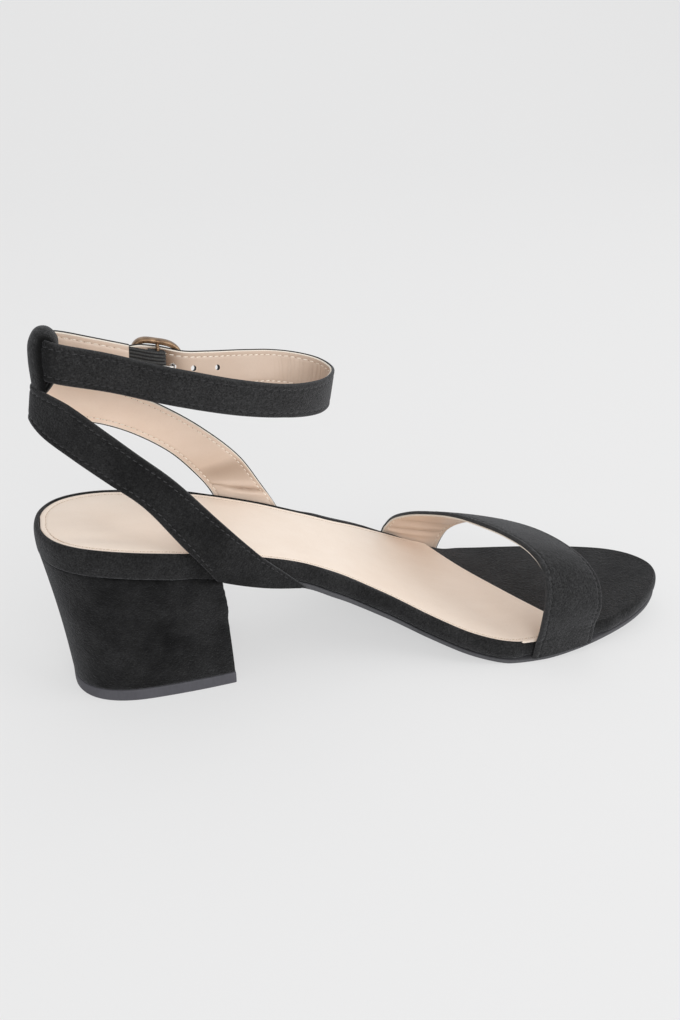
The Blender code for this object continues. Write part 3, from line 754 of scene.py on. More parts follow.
class Finish:
    """A material with a Principled shader, and short calls to hang nodes on it."""

    def __init__(self, name):
        self.material = bpy.data.materials.new(name)
        self.material.use_nodes = True
        self.tree = self.material.node_tree
        self.place = self.add("ShaderNodeTexCoord").outputs["Object"]

    def add(self, kind, **settings):
        node = self.tree.nodes.new(kind)
        for key, value in settings.items():
            setattr(node, key, value)
        return node

    def join(self, socket, value):
        """Link a node's output to a socket, or set the socket to a constant."""
        if isinstance(value, bpy.types.NodeSocket):
            self.tree.links.new(value, socket)
        else:
            socket.default_value = value

    def put(self, node, **values):
        for key, value in values.items():
            self.join(node.inputs[key.replace("_", " ")], value)

    def shade(self, **values):
        """Set inputs of the shader, and give the finished material."""
        self.put(self.tree.nodes["Principled BSDF"], **values)
        return self.material

    def noise(self, size_mm, detail, roughness, vector=None):
        """Grain with patches of about the given size, as a value from 0 to 1."""
        node = self.add("ShaderNodeTexNoise")
        self.put(node, Vector=vector or self.place, Scale=1.0 / (size_mm * MM))
        self.put(node, Detail=detail, Roughness=roughness)
        return node.outputs["Fac"]

    def stretched(self, along, across, up):
        """Object coordinates scaled by axis, which draws a grain out."""
        node = self.add("ShaderNodeMapping")
        self.put(node, Vector=self.place, Scale=(along, across, up))
        return node.outputs["Vector"]

    def ramp(self, value, *stops):
        node = self.add("ShaderNodeValToRGB")
        for element, (position, colour) in zip(node.color_ramp.elements, stops):
            element.position = position
            element.color = (*colour, 1.0)
        self.put(node, Fac=value)
        return node.outputs["Color"]

    def grey(self, value, low, high, first=0.0, last=1.0):
        node = self.add("ShaderNodeMapRange", clamp=True)
        self.put(node, Value=value, From_Min=first, From_Max=last, To_Min=low, To_Max=high)
        return node.outputs["Result"]

    def mix(self, share, first, second, blend="MIX"):
        node = self.add("ShaderNodeMix", data_type="RGBA", blend_type=blend)
        for index, value in ((0, share), (6, first), (7, second)):
            self.join(node.inputs[index], (*value, 1.0) if isinstance(value, tuple) else value)
        return node.outputs[2]

    def math(self, operation, *values):
        node = self.add("ShaderNodeMath", operation=operation)
        for index, value in enumerate(values):
            self.join(node.inputs[index], value)
        return node.outputs["Value"]

    def both(self, first, share, second):
        """Two grains added up, the first with the given share of the sum."""
        first = self.math("MULTIPLY", first, share)
        return self.math("ADD", first, self.math("MULTIPLY", second, 1 - share))

    def attribute(self, name):
        return self.add("ShaderNodeAttribute", attribute_name=name).outputs["Fac"]

    def bump(self, height, depth_mm, strength, under=None):
        node = self.add("ShaderNodeBump")
        self.put(node, Height=height, Strength=strength, Distance=depth_mm * MM)
        if under is not None:
            self.put(node, Normal=under)
        return node.outputs["Normal"]


def tinted(colour, share):
    return tuple(share * c for c in colour)


def suede(name, depth, cloudy, cloud_mm):
    """Napped black suede: brushed clouds, fine grain and a soft sheen, with painted shade in and beside the
    keeper.
    """
    f = Finish(name)
    clouds = f.noise(cloud_mm, 4.0, 0.6)
    brushed = f.noise(9.0, 4.0, 0.65, f.stretched(1.0, 1.4, 0.7))
    grain = f.noise(1.4, 3.0, 0.65)
    nap = f.noise(0.55, 2.0, 0.75)
    tone = f.both(clouds, 0.65, brushed)
    # depth sets the tone of each copy, which carries painted light and shade from part to part
    base, fleck = (tinted((1.0, 1.0, 1.02), depth * v) for v in (0.0170, 0.0600))
    clouded = f.mix(1.0, base, f.grey(tone, 1 - cloudy, 1 + cloudy, 0.38, 0.62), "MULTIPLY")
    grained = f.mix(1.0, clouded, f.grey(grain, 0.76, 1.24, 0.3, 0.7), "MULTIPLY")
    napped = f.mix(1.0, grained, f.grey(nap, 0.25, 2.0, 0.28, 0.72), "MULTIPLY")
    rubbed = f.mix(f.grey(f.attribute("edge"), 0.3, 0.0, 0.0, 0.9), napped, fleck)
    return f.shade(
        # painted shade in and beside the keeper
        Base_Color=f.mix(f.grey(f.attribute("painted_shade"), 0.0, 0.9), rubbed, (0.001, 0.001, 0.001)),
        Roughness=f.grey(nap, 0.85, 1.0),
        Normal=f.bump(grain, 0.6, 0.4, f.bump(nap, 0.4, 0.8)),
        Specular_IOR_Level=0.1,
        Sheen_Weight=0.2,
        Sheen_Roughness=0.45,
        Sheen_Tint=(0.85, 0.86, 0.9, 1.0),
    )


def lining_leather(name, pale, deep, gloss):
    """Smooth beige leather with a fine grain, faint mottling and a low gloss, with brown painted shade in
    its folds and shaded places.
    """
    f = Finish(name)
    clouds = f.noise(22.0, 4.0, 0.55)
    pores = f.noise(0.7, 2.0, 0.6)
    drawn = f.noise(5.0, 3.0, 0.5, f.stretched(0.35, 1.0, 1.0))
    base = f.ramp(f.both(clouds, 0.6, drawn), (0.3, deep), (0.7, pale))
    worn = f.mix(f.grey(pores, 0.10, 0.0, 0.3, 0.5), base, tinted(deep, 0.8))
    # brown of the painted shade in the lining's folds and shaded places
    brown = tuple(share * c for share, c in zip((0.28, 0.22, 0.17), deep))
    return f.shade(
        Base_Color=f.mix(f.grey(f.attribute("painted_shade"), 0.0, 0.95), worn, brown),
        Roughness=f.grey(pores, gloss + 0.1, gloss - 0.08),
        Normal=f.bump(drawn, 0.25, 0.12, f.bump(pores, 0.12, 0.22)),
        Specular_IOR_Level=0.4,
    )


def cut_edge(name, colour):
    """Raw edge of leather, with its fibres."""
    f = Finish(name)
    fibres = f.noise(0.4, 2.0, 0.6)
    return f.shade(
        Base_Color=f.ramp(fibres, (0.3, tinted(colour, 0.85)), (0.7, colour)),
        Normal=f.bump(fibres, 0.15, 0.3),
        Roughness=0.8,
        Specular_IOR_Level=0.2,
    )


def thread(name, dark, light, gloss):
    """Twisted thread with a slight lustre."""
    f = Finish(name)
    twist = f.noise(0.45, 1.0, 0.4)
    return f.shade(
        Base_Color=f.ramp(twist, (0.35, dark), (0.68, light)),
        Normal=f.bump(twist, 0.12, 0.4),
        Roughness=gloss,
        Specular_IOR_Level=0.45,
        Sheen_Weight=0.15,
    )


def rubber(name, dark, light, streak):
    """Matte rubber with faint sanding marks round its edge."""
    f = Finish(name)
    clouds = f.noise(9.0, 3.0, 0.5)
    sanded = f.noise(0.8, 2.0, 0.5, f.stretched(1.0, 1.0, streak))
    grit = f.noise(0.35, 1.0, 0.5)
    return f.shade(
        Base_Color=f.ramp(f.both(clouds, 0.5, sanded), (0.32, dark), (0.68, light)),
        Roughness=f.grey(sanded, 0.6, 0.78),
        Normal=f.bump(sanded, 0.1, 0.3, f.bump(grit, 0.1, 0.25)),
        Specular_IOR_Level=0.3,
    )


def elastic_weave(name):
    """Black elastic: rubber cords under a knitted cover, with painted shade in the grooves between the
    cords.
    """
    f = Finish(name)
    knit = f.noise(0.5, 2.0, 0.6, f.stretched(2.2, 1.0, 0.8))
    cord = f.ramp(knit, (0.34, (0.022, 0.023, 0.023)), (0.7, (0.062, 0.064, 0.064)))
    # painted light and shade: the rib tops lighter, the grooves between them near black
    rib_light_share = f.grey(f.attribute("edge"), 0.0, 1.0, 0.35, 0.95)
    return f.shade(
        Base_Color=f.mix(rib_light_share, (0.006, 0.006, 0.007), cord),
        Normal=f.bump(knit, 0.2, 0.5),
        Roughness=0.7,
        Specular_IOR_Level=0.35,
        Sheen_Weight=0.2,
        Sheen_Roughness=0.4,
    )


def buckle_metal(name, dark, light, rough):
    """Plated metal with a worn, uneven tone."""
    f = Finish(name)
    worn = f.noise(2.4, 3.0, 0.6)
    fine = f.noise(0.4, 2.0, 0.5)
    return f.shade(
        Base_Color=f.ramp(worn, (0.36, dark), (0.66, light)),
        Roughness=f.grey(fine, rough - 0.06, rough + 0.1),
        Normal=f.bump(fine, 0.04, 0.2),
        Metallic=1.0,
    )


def studio_grey(name, colour, glow):
    """Pale studio sheet that is lit from behind a little, which keeps the shadows soft."""
    f = Finish(name)
    return f.shade(
        Base_Color=f.ramp(f.noise(400.0, 2.0, 0.4), (0.3, tinted(colour, 0.995)), (0.7, colour)),
        Roughness=0.9,
        Specular_IOR_Level=0.1,
        Emission_Color=(1.0, 1.0, 1.0, 1.0),
        Emission_Strength=glow,
    )


# One black suede in four copies. Their tones are painted light and shade: lighter on the straps that face
# the lamps, darker on the sling, the footbed's wrap and most of all the heel; their clouding differs as
# well
SUEDE = suede("strap_suede", 1.25, 0.2, 30.0)
SLING_SUEDE = suede("sling_suede", 0.72, 0.35, 24.0)
WRAP_SUEDE = suede("footbed_suede", 0.85, 0.4, 24.0)
HEEL_SUEDE = suede("heel_suede", 0.40, 0.95, 15.0)
LINING = lining_leather("beige_lining", (0.920, 0.760, 0.640), (0.840, 0.670, 0.545), 0.40)
# A darker copy of the same beige lining for the ankle strap: painted shade
ANKLE_LINING = lining_leather("ankle_lining", (0.720, 0.590, 0.490), (0.650, 0.510, 0.410), 0.40)
SOCK = lining_leather("beige_sock", (0.860, 0.745, 0.645), (0.815, 0.690, 0.585), 0.46)
LINING_EDGE = cut_edge("lining_edge", (0.84, 0.77, 0.68))
BLACK_THREAD = thread("black_thread", (0.005, 0.005, 0.006), (0.022, 0.022, 0.025), 0.42)
CREAM_THREAD = thread("cream_thread", (0.700, 0.610, 0.500), (0.900, 0.840, 0.760), 0.5)
# Cream sock thread darkened to tan, so that it also carries painted shade from its groove
SOCK_THREAD = thread("sock_thread", (0.520, 0.400, 0.300), (0.760, 0.630, 0.510), 0.5)
# Dark pricks for the needle holes: painted shade
SUEDE_PRICK_SHADE = cut_edge("suede_prick_shade", (0.004, 0.004, 0.004))
LINING_PRICK_SHADE = cut_edge("lining_prick_shade", (0.400, 0.280, 0.200))
SOLE_RUBBER = rubber("outsole_rubber", (0.062, 0.062, 0.067), (0.090, 0.090, 0.097), 1.0)
TIP_RUBBER = rubber("heel_tip_rubber", (0.068, 0.067, 0.077), (0.089, 0.088, 0.100), 0.25)
ELASTIC = elastic_weave("ribbed_elastic")
BRONZE = buckle_metal("antique_bronze", (0.170, 0.110, 0.070), (0.360, 0.240, 0.150), 0.34)
STEEL = buckle_metal("prong_steel", (0.420, 0.400, 0.380), (0.680, 0.660, 0.640), 0.28)
BACKDROP = studio_grey("studio_grey", (0.270, 0.270, 0.272), 0.55)
LINED = (SUEDE, LINING, LINING_EDGE)
SLING_LINED = (SLING_SUEDE, LINING, LINING_EDGE)
ANKLE_LINED = (SUEDE, ANKLE_LINING, LINING_EDGE)
STITCH = one_bump(STITCH_SIZE)
PRICK = one_bump(PRICK_SIZE)


# Footbed, outsole and sock


def over_heel(x):
    """1 over the heel, where the footbed's wrap comes down lower, and 0 ahead of it."""
    return ease((HEEL_SEAM_FRONT - x) / HEEL_SEAM_FADE)


def sock_inset(x):
    """Inset of the sock's edge from the footbed's outline."""
    return smooth(*columns(SOCK_INSET), x)


def build_footbed():
    n = 440
    turn = (np.arange(n) + 0.5) / n * 2 * math.pi
    x = plan(turn)[:, 0]
    share, inset, drop = columns(FOOTBED_WALL)
    hollow = recess(turn)
    rings = []
    rim_front = np.where(turn < math.pi, RIM_FRONT_OUTER, RIM_FRONT_INNER)
    rim = RIM_RISE * ease((rim_front - x) / RIM_FADE)
    for w in np.linspace(0, WALL_TOP_SHARE, 27):
        low = float(smooth(share, drop, w))
        heel = over_heel(x) * ease((0.5 - w) / 0.2)
        xy = inset_plan(turn, float(smooth(share, inset, w)) * (1 - 0.55 * heel) + hollow)
        lower = heel * (HEEL_SEAM_DROP - FOOTBED_THICK) * low / FOOTBED_THICK
        raised = rim * float(ease(2 * w / WALL_TOP_SHARE - 1))
        rings.append(np.column_stack([xy, top_z(xy[:, 0]) - low - lower + raised]))
    outer = RIM_INSET + hollow
    inner = np.maximum(sock_inset(x), outer + RIM_LEAST)
    for share_in, height in RIM_PROFILE:
        xy = inset_plan(turn, outer * (1 - share_in) + inner * share_in)
        rings.append(np.column_stack([xy, top_z(xy[:, 0]) + rim * height]))
    border = rings[-1]
    for w in (0.2, 0.45, 0.75):
        flat = border * (1 - w) + (border + border[::-1]) / 2 * w
        flat[:, 2] = top_z(flat[:, 0])
        rings.append(flat)
    keep(closed_loft("footbed_wrap", np.array(rings), [WRAP_SUEDE]), "suede", "footbed")


def build_outsole():
    first = turn_of(BREAST_FOOT + 1.6)
    turn = np.linspace(first, 2 * math.pi - first, 400)
    hollow = recess(turn) * (plan(turn)[:, 0] < WAIST_END)
    rings = []
    for inset, share in OUTSOLE_WALL:
        xy = inset_plan(turn, inset + hollow)
        upper = top_z(xy[:, 0]) - FOOTBED_THICK - GAP
        thick = np.interp(xy[:, 0], (BREAST_FOOT, OUTSOLE_EVEN), (OUTSOLE_WAIST, OUTSOLE_BALL))
        lower = np.maximum(upper - thick, 0.0)
        rings.append(np.column_stack([xy, upper + (lower - upper) * share]))
    keep(closed_loft("outsole_sheet", np.array(rings), [SOLE_RUBBER]), "outsole_rubber", "outsole")


def sock_plan(along, across):
    """Grid over the sock in plan, from the heel to its slanting, rounded front."""
    u = np.linspace(SOCK_START, 1, along)
    edges = []
    for front, side in ((SOCK_FRONT_INNER, -1), (SOCK_FRONT_OUTER, 1)):
        turn = np.mod(side * u * turn_of(front), 2 * math.pi)
        edges.append(inset_plan(turn, sock_inset(plan(turn)[:, 0]))[:, None])
    s = -np.cos(np.linspace(0, math.pi, across))
    corner = np.clip((SOCK_CORNER - 1 - s) / SOCK_CORNER, 0, 1)
    bulge = np.where(corner > 0, 2 - SOCK_CORNER, 1 - s) * np.sqrt(1 - corner ** 2)
    share = ((s + 1) / 2)[None, :, None]
    xy = edges[0] * (1 - share) + edges[1] * share
    xy[..., 0] += SOCK_FRONT_BULGE * bulge[None] * (u[:, None] ** 5)
    return xy


def edge_distance(xy):
    """Distance of each point of a plan grid from the grid's own border."""
    border = np.concatenate([xy[0], xy[1:-1, -1], xy[-1, ::-1], xy[-2:0:-1, 0]])
    flat = xy.reshape(-1, 2)
    distance = np.full(len(flat), 1e9)
    for first in range(0, len(flat), 4000):
        part = flat[first:first + 4000]
        distance[first:first + 4000] = np.sqrt(((part[:, None] - border[None]) ** 2).sum(-1)).min(1)
    return distance.reshape(xy.shape[:2])


def sock_height(xy, distance):
    """Upper face of the sock: rounded edge, sewn groove, padded middle and a soft crease by the heel."""
    x, y = xy[..., 0], xy[..., 1]
    height = top_z(x) + GAP + SOCK_THICK
    height -= 0.4 * (1 - np.sqrt(1 - (1 - np.clip(distance / 0.6, 0, 1)) ** 2))
    height -= SEAM_SINK * np.exp(-((distance - SOCK_SEAM) / 0.55) ** 2)
    height += SOCK_PAD * ease((distance - SOCK_SEAM) / 7)
    crease = y + 11.5 + 0.16 * (x - 12)
    height -= SOCK_CREASE * np.exp(-(crease / 3.2) ** 2) * ease((x - 2) / 10) * ease((44 - x) / 22)
    return height


def build_sock():
    xy = sock_plan(250, 96)
    distance = edge_distance(xy)
    top = np.dstack([xy, sock_height(xy, distance)])
    under = np.dstack([xy, top_z(xy[..., 0]) + GAP])
    rings, flat, edge = (
        np.concatenate([upper, lower[:, ::-1]], axis=1)
        for upper, lower in ((top, under), (xy, xy), (distance, distance))
    )
    sock = closed_loft("insole_sock_leather", rings, [SOCK], uv=flat, edge=edge)
    keep(sock, "sock_leather", "insole_sock")
    sew("insole_sock", [sock_seam(xy)], 0.01, SOCK_THREAD, LINING_PRICK_SHADE, "sock_leather")


def sock_seam(xy):
    """Stitch row round the sock, a constant way inside its edge."""
    border = np.concatenate([xy[-1:0:-1, 0], xy[0], xy[1:, -1]])
    step = np.gradient(border, axis=0)
    inward = np.stack([step[:, 1], -step[:, 0]], -1)
    inward /= np.linalg.norm(inward, axis=1, keepdims=True) + 1e-9
    if (inward[0] * (xy[len(xy) // 2, 40] - border[0])).sum() < 0:
        inward = -inward
    line = border + inward * SOCK_SEAM
    line = path_through(np.column_stack([line, np.zeros(len(line))])[::6], 600)[:, :2]
    x = line[:, 0]
    slope = top_z(x + 0.5) - top_z(x - 0.5)
    normal = np.column_stack([-slope, np.zeros(len(x)), np.ones(len(x))])
    return np.column_stack([line, top_z(x) + GAP + SOCK_THICK - SEAM_SINK, normal])


# Heel


def heel_foot(share, side):
    x = HEEL_FOOT_BACK + (BREAST_FOOT - HEEL_FOOT_BACK) * share
    t = np.clip((x - HEEL_FOOT_BACK) / HEEL_FOOT_ROUND, 0, 1)
    half = HEEL_FOOT_HALF * (1 - (1 - t) ** HEEL_FOOT_POWER) ** (1 / HEEL_FOOT_POWER)
    widest = HEEL_FOOT_BACK + HEEL_FOOT_ROUND
    taper = HEEL_FOOT_TAPER * np.clip((x - widest) / (BREAST_FOOT - widest), 0, 1) ** 2
    return np.column_stack([x, side * (half - taper)])


def breast_points(corner_outer, corner_inner, count):
    """Points across the flat front face, from each corner in to the middle."""
    lip = np.array([0.0, 0.25, 0.6, COVER_LIP, COVER_LIP + 0.12])
    inset = np.array([0.28, 0.06, 0.0, 0.0, COVER_STEP])
    width = np.linalg.norm(corner_outer - corner_inner)
    rest = np.linspace(lip[-1], width / 2, count)[1:]
    back = np.concatenate([inset, np.full(len(rest), COVER_STEP)])
    back = np.column_stack([back, np.zeros(len(back))])
    towards = np.outer(np.concatenate([lip, rest]), (corner_outer - corner_inner) / width)
    return corner_inner + towards - back, corner_outer - towards - back


def build_heel_block():
    half = turn_of(BREAST_TOP)
    top_xy = inset_plan(np.linspace(half, -half, 150), HEEL_TOP_INSET)
    top_xy[[0, -1], 0] = BREAST_TOP
    x = top_xy[:, 0]
    foot_xy = heel_foot((x - HEEL_END) / (BREAST_TOP - HEEL_END), np.sign(top_xy[:, 1]))
    heights = np.concatenate([[0.0, 0.004, 0.012], np.linspace(0.03, 0.97, 44), [0.988, 0.996, 1.0]])
    ragged = np.cumsum(np.random.default_rng(7).normal(0, 0.12, len(heights)))
    ragged = np.clip(ragged - np.linspace(ragged[0], ragged[-1], len(ragged)), -0.3, 0.4)
    seam_depth = 0.06 + 0.5 * ease((x - 10) / 26)
    rings = []
    for w, uneven in zip(heights, ragged):
        xy = top_xy * (1 - w) + foot_xy * w
        hollow = HEEL_WAIST * math.sin(math.pi * w) * np.clip((BREAST_TOP - 6 - x) / 12, 0, 1)
        rim = seam_depth * math.exp(-w / 0.008) + 0.3 * math.exp(-(1 - w) / 0.006)
        xy = xy + unit(HEEL_MIDDLE - xy) * (hollow + rim)[:, None]
        inner, outer = breast_points(xy[0], xy[-1], 14)
        proud = COVER_OVERHANG * math.sin(math.pi * w) ** 0.5
        inner[:4, 0] += proud + uneven
        outer[:4, 0] += proud - uneven
        ring_xy = np.concatenate([outer[::-1], xy[1:-1], inner])
        seam = FOOTBED_THICK + (HEEL_SEAM_DROP - FOOTBED_THICK) * over_heel(ring_xy[:, 0])
        upper = top_z(np.minimum(ring_xy[:, 0], BREAST_TOP)) - seam - GAP / 2
        rings.append(np.column_stack([ring_xy, upper * (1 - w) + (TIP_THICK + GAP) * w]))
    cover = closed_loft("heel_cover", np.array(rings), [HEEL_SUEDE], angle=70)
    keep(cover, "suede", "heel_block")


def build_heel_tip():
    half = np.linspace(1, 0.004, 80)
    share = np.concatenate([half, half[::-1]]) ** 1.6
    xy = heel_foot(share, np.repeat([1.0, -1.0], len(half)))
    inwards = unit(HEEL_MIDDLE - xy)
    rings = [np.column_stack([xy + inwards * inset, np.full(len(xy), z)]) for inset, z in TIP_LEVELS]
    tip = closed_loft("heel_top_piece", np.array(rings), [TIP_RUBBER], angle=70)
    keep(tip, "heel_tip_rubber", "heel_tip")


# Straps


def between_edges(table, count, across):
    """Grid between the two edges of a strap, and each column's share of the way across."""
    edges = np.asarray(table, float)
    both = path_through(np.column_stack([(edges[:, :3] + edges[:, 3:]) / 2, edges]), count)
    share = np.linspace(0, 1, across)[None, :]
    grid = both[:, None, 3:6] * (1 - share[..., None]) + both[:, None, 6:9] * share[..., None]
    return grid, share


def toe_strap_grid(count, across):
    grid, share = between_edges(TOE_STRAP, count, across)
    arch = np.sin(np.linspace(0, math.pi, count))[:, None]
    grid[..., 2] += TOE_STRAP_CROWN * (1 - (2 * share - 1) ** 2) * arch
    return lasted(grid, TOE_STRAP_THICK)


def folds(table, up, across, width):
    """Height of soft folds that run across a strap, each over its own part of the width."""
    share = across / width
    height = np.zeros_like(across)
    for way, half, rise, slope, middle, reach in table:
        bent = slope * (across - width / 2) + 3.0 * (share - middle) ** 2
        fade = np.exp(-((share - middle) / reach) ** 4)
        height += rise * np.exp(-((up - way - bent) / half) ** 2) * fade
    return height * ease((nearest_edge(across, width) - 0.6) / 2.0)


def build_footed_strap(name, node, grid, thickness, finishes, table, shade, margins, pucker=0.0):
    """Strap with two feet in the sole. Folds of its lining, and painted shade on it, start from both feet.
    """
    length = run_of(grid[:, grid.shape[1] // 2])[-1]
    least, added, start, reach = shade

    def wrinkles(along, across, width):
        return folds(table, length - along, across, width) + folds(table, along, across, width)

    # painted shade on the lining, darker towards either foot
    def painted_shade_by_the_foot(along):
        return least + added * float(ease((start - nearest_edge(along, length)) / reach))

    strap, seams = lined_band(
        name, grid, thickness, finishes, wrinkles, painted_shade_by_the_foot, pucker=pucker
    )
    keep(strap, "suede", node)
    sew_strap(node, seams, *margins)


def build_toe_strap():
    grid = toe_strap_grid(300, 41)[:, ::-1]
    if surface_normals(grid)[150, 20, 2] < 0:
        grid = grid[:, ::-1]
    build_footed_strap(
        "toe_strap_upper", "toe_strap", grid, TOE_STRAP_THICK, LINED, TOE_FOLDS,
        TOE_SHADE, (0.05, 0.06), TOE_STRAP_PUCKER,
    )


def sling_grid(count, across):
    grid, share = between_edges(SLING, count, across)
    end = np.linspace(0, 1, count)[:, None]
    near_foot = np.clip(1 - np.minimum(end, 1 - end) / SLING_FOOT_SHARE, 0, 1) ** 2
    grid[..., 2] -= SLING_FOOT_BOW * near_foot * np.sin(math.pi * share)
    return lasted(grid, SLING_THICK)


def build_sling():
    grid = sling_grid(330, 31)
    if surface_normals(grid)[165, 15, 0] > 0:
        grid = grid[:, ::-1]
    build_footed_strap(
        "heel_sling_upper", "heel_sling", grid, SLING_THICK, SLING_LINED, SLING_FOLDS,
        SLING_SHADE, (0.03, 0.05),
    )


def rounded_section(width, thick, count, power):
    """Points round a soft rectangle, from one short side round to itself, the same on both sides."""
    angle = (np.arange(count) + 0.5) / count * 2 * math.pi
    c, s = np.cos(angle), np.sin(angle)
    across = width / 2 * np.sign(c) * np.abs(c) ** (2 / power)
    out = thick / 2 * np.sign(s) * np.abs(s) ** (2 / power)
    return across, out


def build_keeper():
    x, z, wide, thick, wrap = columns(KEEPER)
    side = path_through(np.column_stack([x, np.zeros(len(x)), z, wide, thick, wrap]), 130)
    tangent = unit(np.gradient(side[:, :3], axis=0))
    outward = np.column_stack([-tangent[:, 2], np.zeros(len(side)), tangent[:, 0]])
    across, out = rounded_section(1.0, 1.0, 56, 2.7)
    inwards = side[:, 5:] * np.abs(2 * across) ** 2.2
    rings = side[:, None, :3] + outward[:, None] * (side[:, 4:5] * out - inwards)[..., None]
    rings[..., 1] += side[:, 3:4] * across
    # painted shade on the keeper's sides, where they meet the ankle strap
    painted_suede_shade = ease((np.abs(2 * across) - 0.7) / 0.3) * np.ones((len(side), 1))
    keep(closed_loft("ankle_strap_keeper", rings, [SUEDE], painted_shade=painted_suede_shade), "suede", "heel_sling")


def strap_up(x, y):
    """Direction up across the ankle strap at a place in plan: it leans forward and flares out."""
    x, y = np.broadcast_arrays(np.asarray(x, float), np.asarray(y, float))
    at, forward, inner, outer = columns(ANKLE_LEAN)
    beside = y - np.interp(x, *columns(ANKLE_MIDDLE))
    side = 0.5 + 0.5 * np.tanh(beside / 2)
    flare = np.interp(x, at, inner) * (1 - side) + np.interp(x, at, outer) * side
    flare = np.tan(np.radians(flare))
    forward = np.tan(np.radians(np.interp(x, at, forward)))
    ahead = np.clip((x - ANKLE_ROUND) / (TOP_OF_LOOP - ANKLE_ROUND), 0, 1) ** 1.5
    out_y = (1 - ahead) * beside / (np.abs(beside) + 1.0)
    size = np.maximum(np.hypot(ahead, out_y), 0.3)
    up = np.stack([forward + flare * ahead / size, flare * out_y / size, np.ones_like(x)], -1)
    return unit(up)


def strap_middle_z(x, y):
    up = strap_up(x, y)
    return smooth(*columns(ANKLE_TOP), x) - ANKLE_STRAP_WIDTH / 2 * up[..., 2]


def ankle_creases():
    """Fine upright creases of the lining where the strap turns round the front."""
    rng = np.random.default_rng(11)
    rows = []
    way = ANKLE_CREASES_FROM
    while way < ANKLE_CREASES_TO:
        turn = ease((way - ANKLE_CREASES_FROM) / 14) * ease((ANKLE_CREASES_TO - way) / 16)
        half = rng.uniform(0.3, 0.5)
        rise = -rng.uniform(0.08, 0.24) * turn
        slope = rng.uniform(-0.06, 0.1)
        middle = rng.uniform(0.42, 0.58)
        rows.append((way, half, rise, slope, middle, rng.uniform(0.3, 0.5)))
        way += rng.uniform(1.0, 2.6)
    return rows


def punch_hole(strap, place, axis):
    """Cut a round hole through a strap."""
    bpy.ops.object.select_all(action="DESELECT")
    bpy.ops.mesh.primitive_cylinder_add(
        vertices=28,
        radius=HOLE_RADIUS * MM,
        depth=5 * MM,
        location=(place + SHIFT) * MM,
        rotation=Vector(axis).to_track_quat("Z", "Y").to_euler(),
    )
    punch = bpy.context.object
    punch.data.materials.append(SUEDE)
    cut = strap.modifiers.new("hole", "BOOLEAN")
    cut.operation = "DIFFERENCE"
    cut.solver = "EXACT"
    cut.object = punch
    bpy.ops.object.select_all(action="DESELECT")
    bpy.context.view_layer.objects.active = strap
    bpy.ops.object.modifier_apply(modifier=cut.name)
    bpy.data.objects.remove(punch, do_unlink=True)


def build_ankle_strap():
    x, y = columns(ANKLE_LOOP)
    path = path_through(np.column_stack([x, y, strap_middle_z(x, y)]), 1400)
    way = run_of(path)
    creased = (way > ANKLE_CREASES_FROM - 3) & (way < ANKLE_CREASES_TO + 3)
    path = path[creased | (np.arange(len(path)) % 4 == 0)]
    x, y = path[:, 0], path[:, 1]
    tail = ease((FREE_END_FROM - x) / 6) * (np.arange(len(path)) > len(path) // 2)
    path[:, 2] = strap_middle_z(x, y) - FREE_END_DROP * tail
    up = strap_up(x, y)
    w = np.linspace(-0.5, 0.5, 21) * ANKLE_STRAP_WIDTH
    grid = path[:, None] + up[:, None] * w[None, :, None]
    front = int(np.argmax(x))
    if surface_normals(grid)[front, 10, 0] < 0:
        grid = grid[:, ::-1]
    way = run_of(path)
    creases = ankle_creases()

    def on_the_outer_side(station):
        return front + int(np.argmin(np.abs(x[front:] - station)))

    buckle_way = way[on_the_outer_side(BUCKLE_STATION)]

    def wrinkles(along, across, width):
        return folds(creases, along, across, width)

    # painted shade on the lining: broad on the outer side, and a painted shadow just ahead of the elastic
    # by the buckle
    def painted_lining_shade(along):
        outer_side = OUTER_SHADE * float(ease((along - way[front]) / OUTER_SHADE_REACH + 1))
        from_buckle = (along - buckle_way + BUCKLE_SHADE_AHEAD) / BUCKLE_SHADE_HALF
        return outer_side + BUCKLE_SHADE * math.exp(-from_buckle ** 2)

    # painted shade on the suede where the strap turns inside the keeper
    def painted_shade_in_the_keeper(along):
        return math.exp(-((np.interp(along, way, x) - KEEPER_SHADE_X) / KEEPER_SHADE_HALF) ** 2)

    strap, seams = lined_band(
        "ankle_strap_band", grid, ANKLE_STRAP_THICK, ANKLE_LINED, wrinkles, painted_lining_shade, painted_shade_in_the_keeper
    )
    square = surface_normals(grid)[:, 10]
    for station in HOLE_STATIONS:
        at = on_the_outer_side(station)
        punch_hole(strap, path[at] + up[at] * HOLE_RISE, square[at])
    keep(strap, "suede", "ankle_strap")
    sew_strap("ankle_strap", seams, 0.01, 0.01)


# Buckle


def buckle_place(along_mm, up_mm, y):
    """Place on the buckle, from the middle of its bar."""
    along = np.array([1.0, 0.0, -BUCKLE_FALL]) / math.hypot(1.0, BUCKLE_FALL)
    up = strap_up(BUCKLE_STATION, OUTER_SIDE)
    centre = np.array([BUCKLE_STATION, 0.0, float(strap_middle_z(BUCKLE_STATION, OUTER_SIDE))])
    return centre + along * along_mm + up * up_mm + np.array([0.0, y, 0.0])


def frame_y(along_mm):
    """How far out the bowed frame stands."""
    bow = FRAME_BOW_FRONT if along_mm > 0 else FRAME_BOW_REAR
    to_the_end = float(ease(abs(along_mm) / FRAME_HALF_LENGTH))
    return BAR_Y + FRAME_BOW_MIDDLE + (bow - FRAME_BOW_MIDDLE) * to_the_end


def swept_rings(points, section, closed=False):
    """Rings round a bent line: section gives each point's offsets sideways and out from the shoe."""
    if closed:
        tangent = np.roll(points, -1, axis=0) - np.roll(points, 1, axis=0)
    else:
        tangent = np.gradient(points, axis=0)
    tangent = unit(tangent)
    out = unit(np.array([0.0, 1.0, 0.0]) - tangent * tangent[:, 1:2])
    side = np.cross(tangent, out)
    across, away = section
    return points[:, None] + side[:, None] * across[..., None] + out[:, None] * away[..., None]


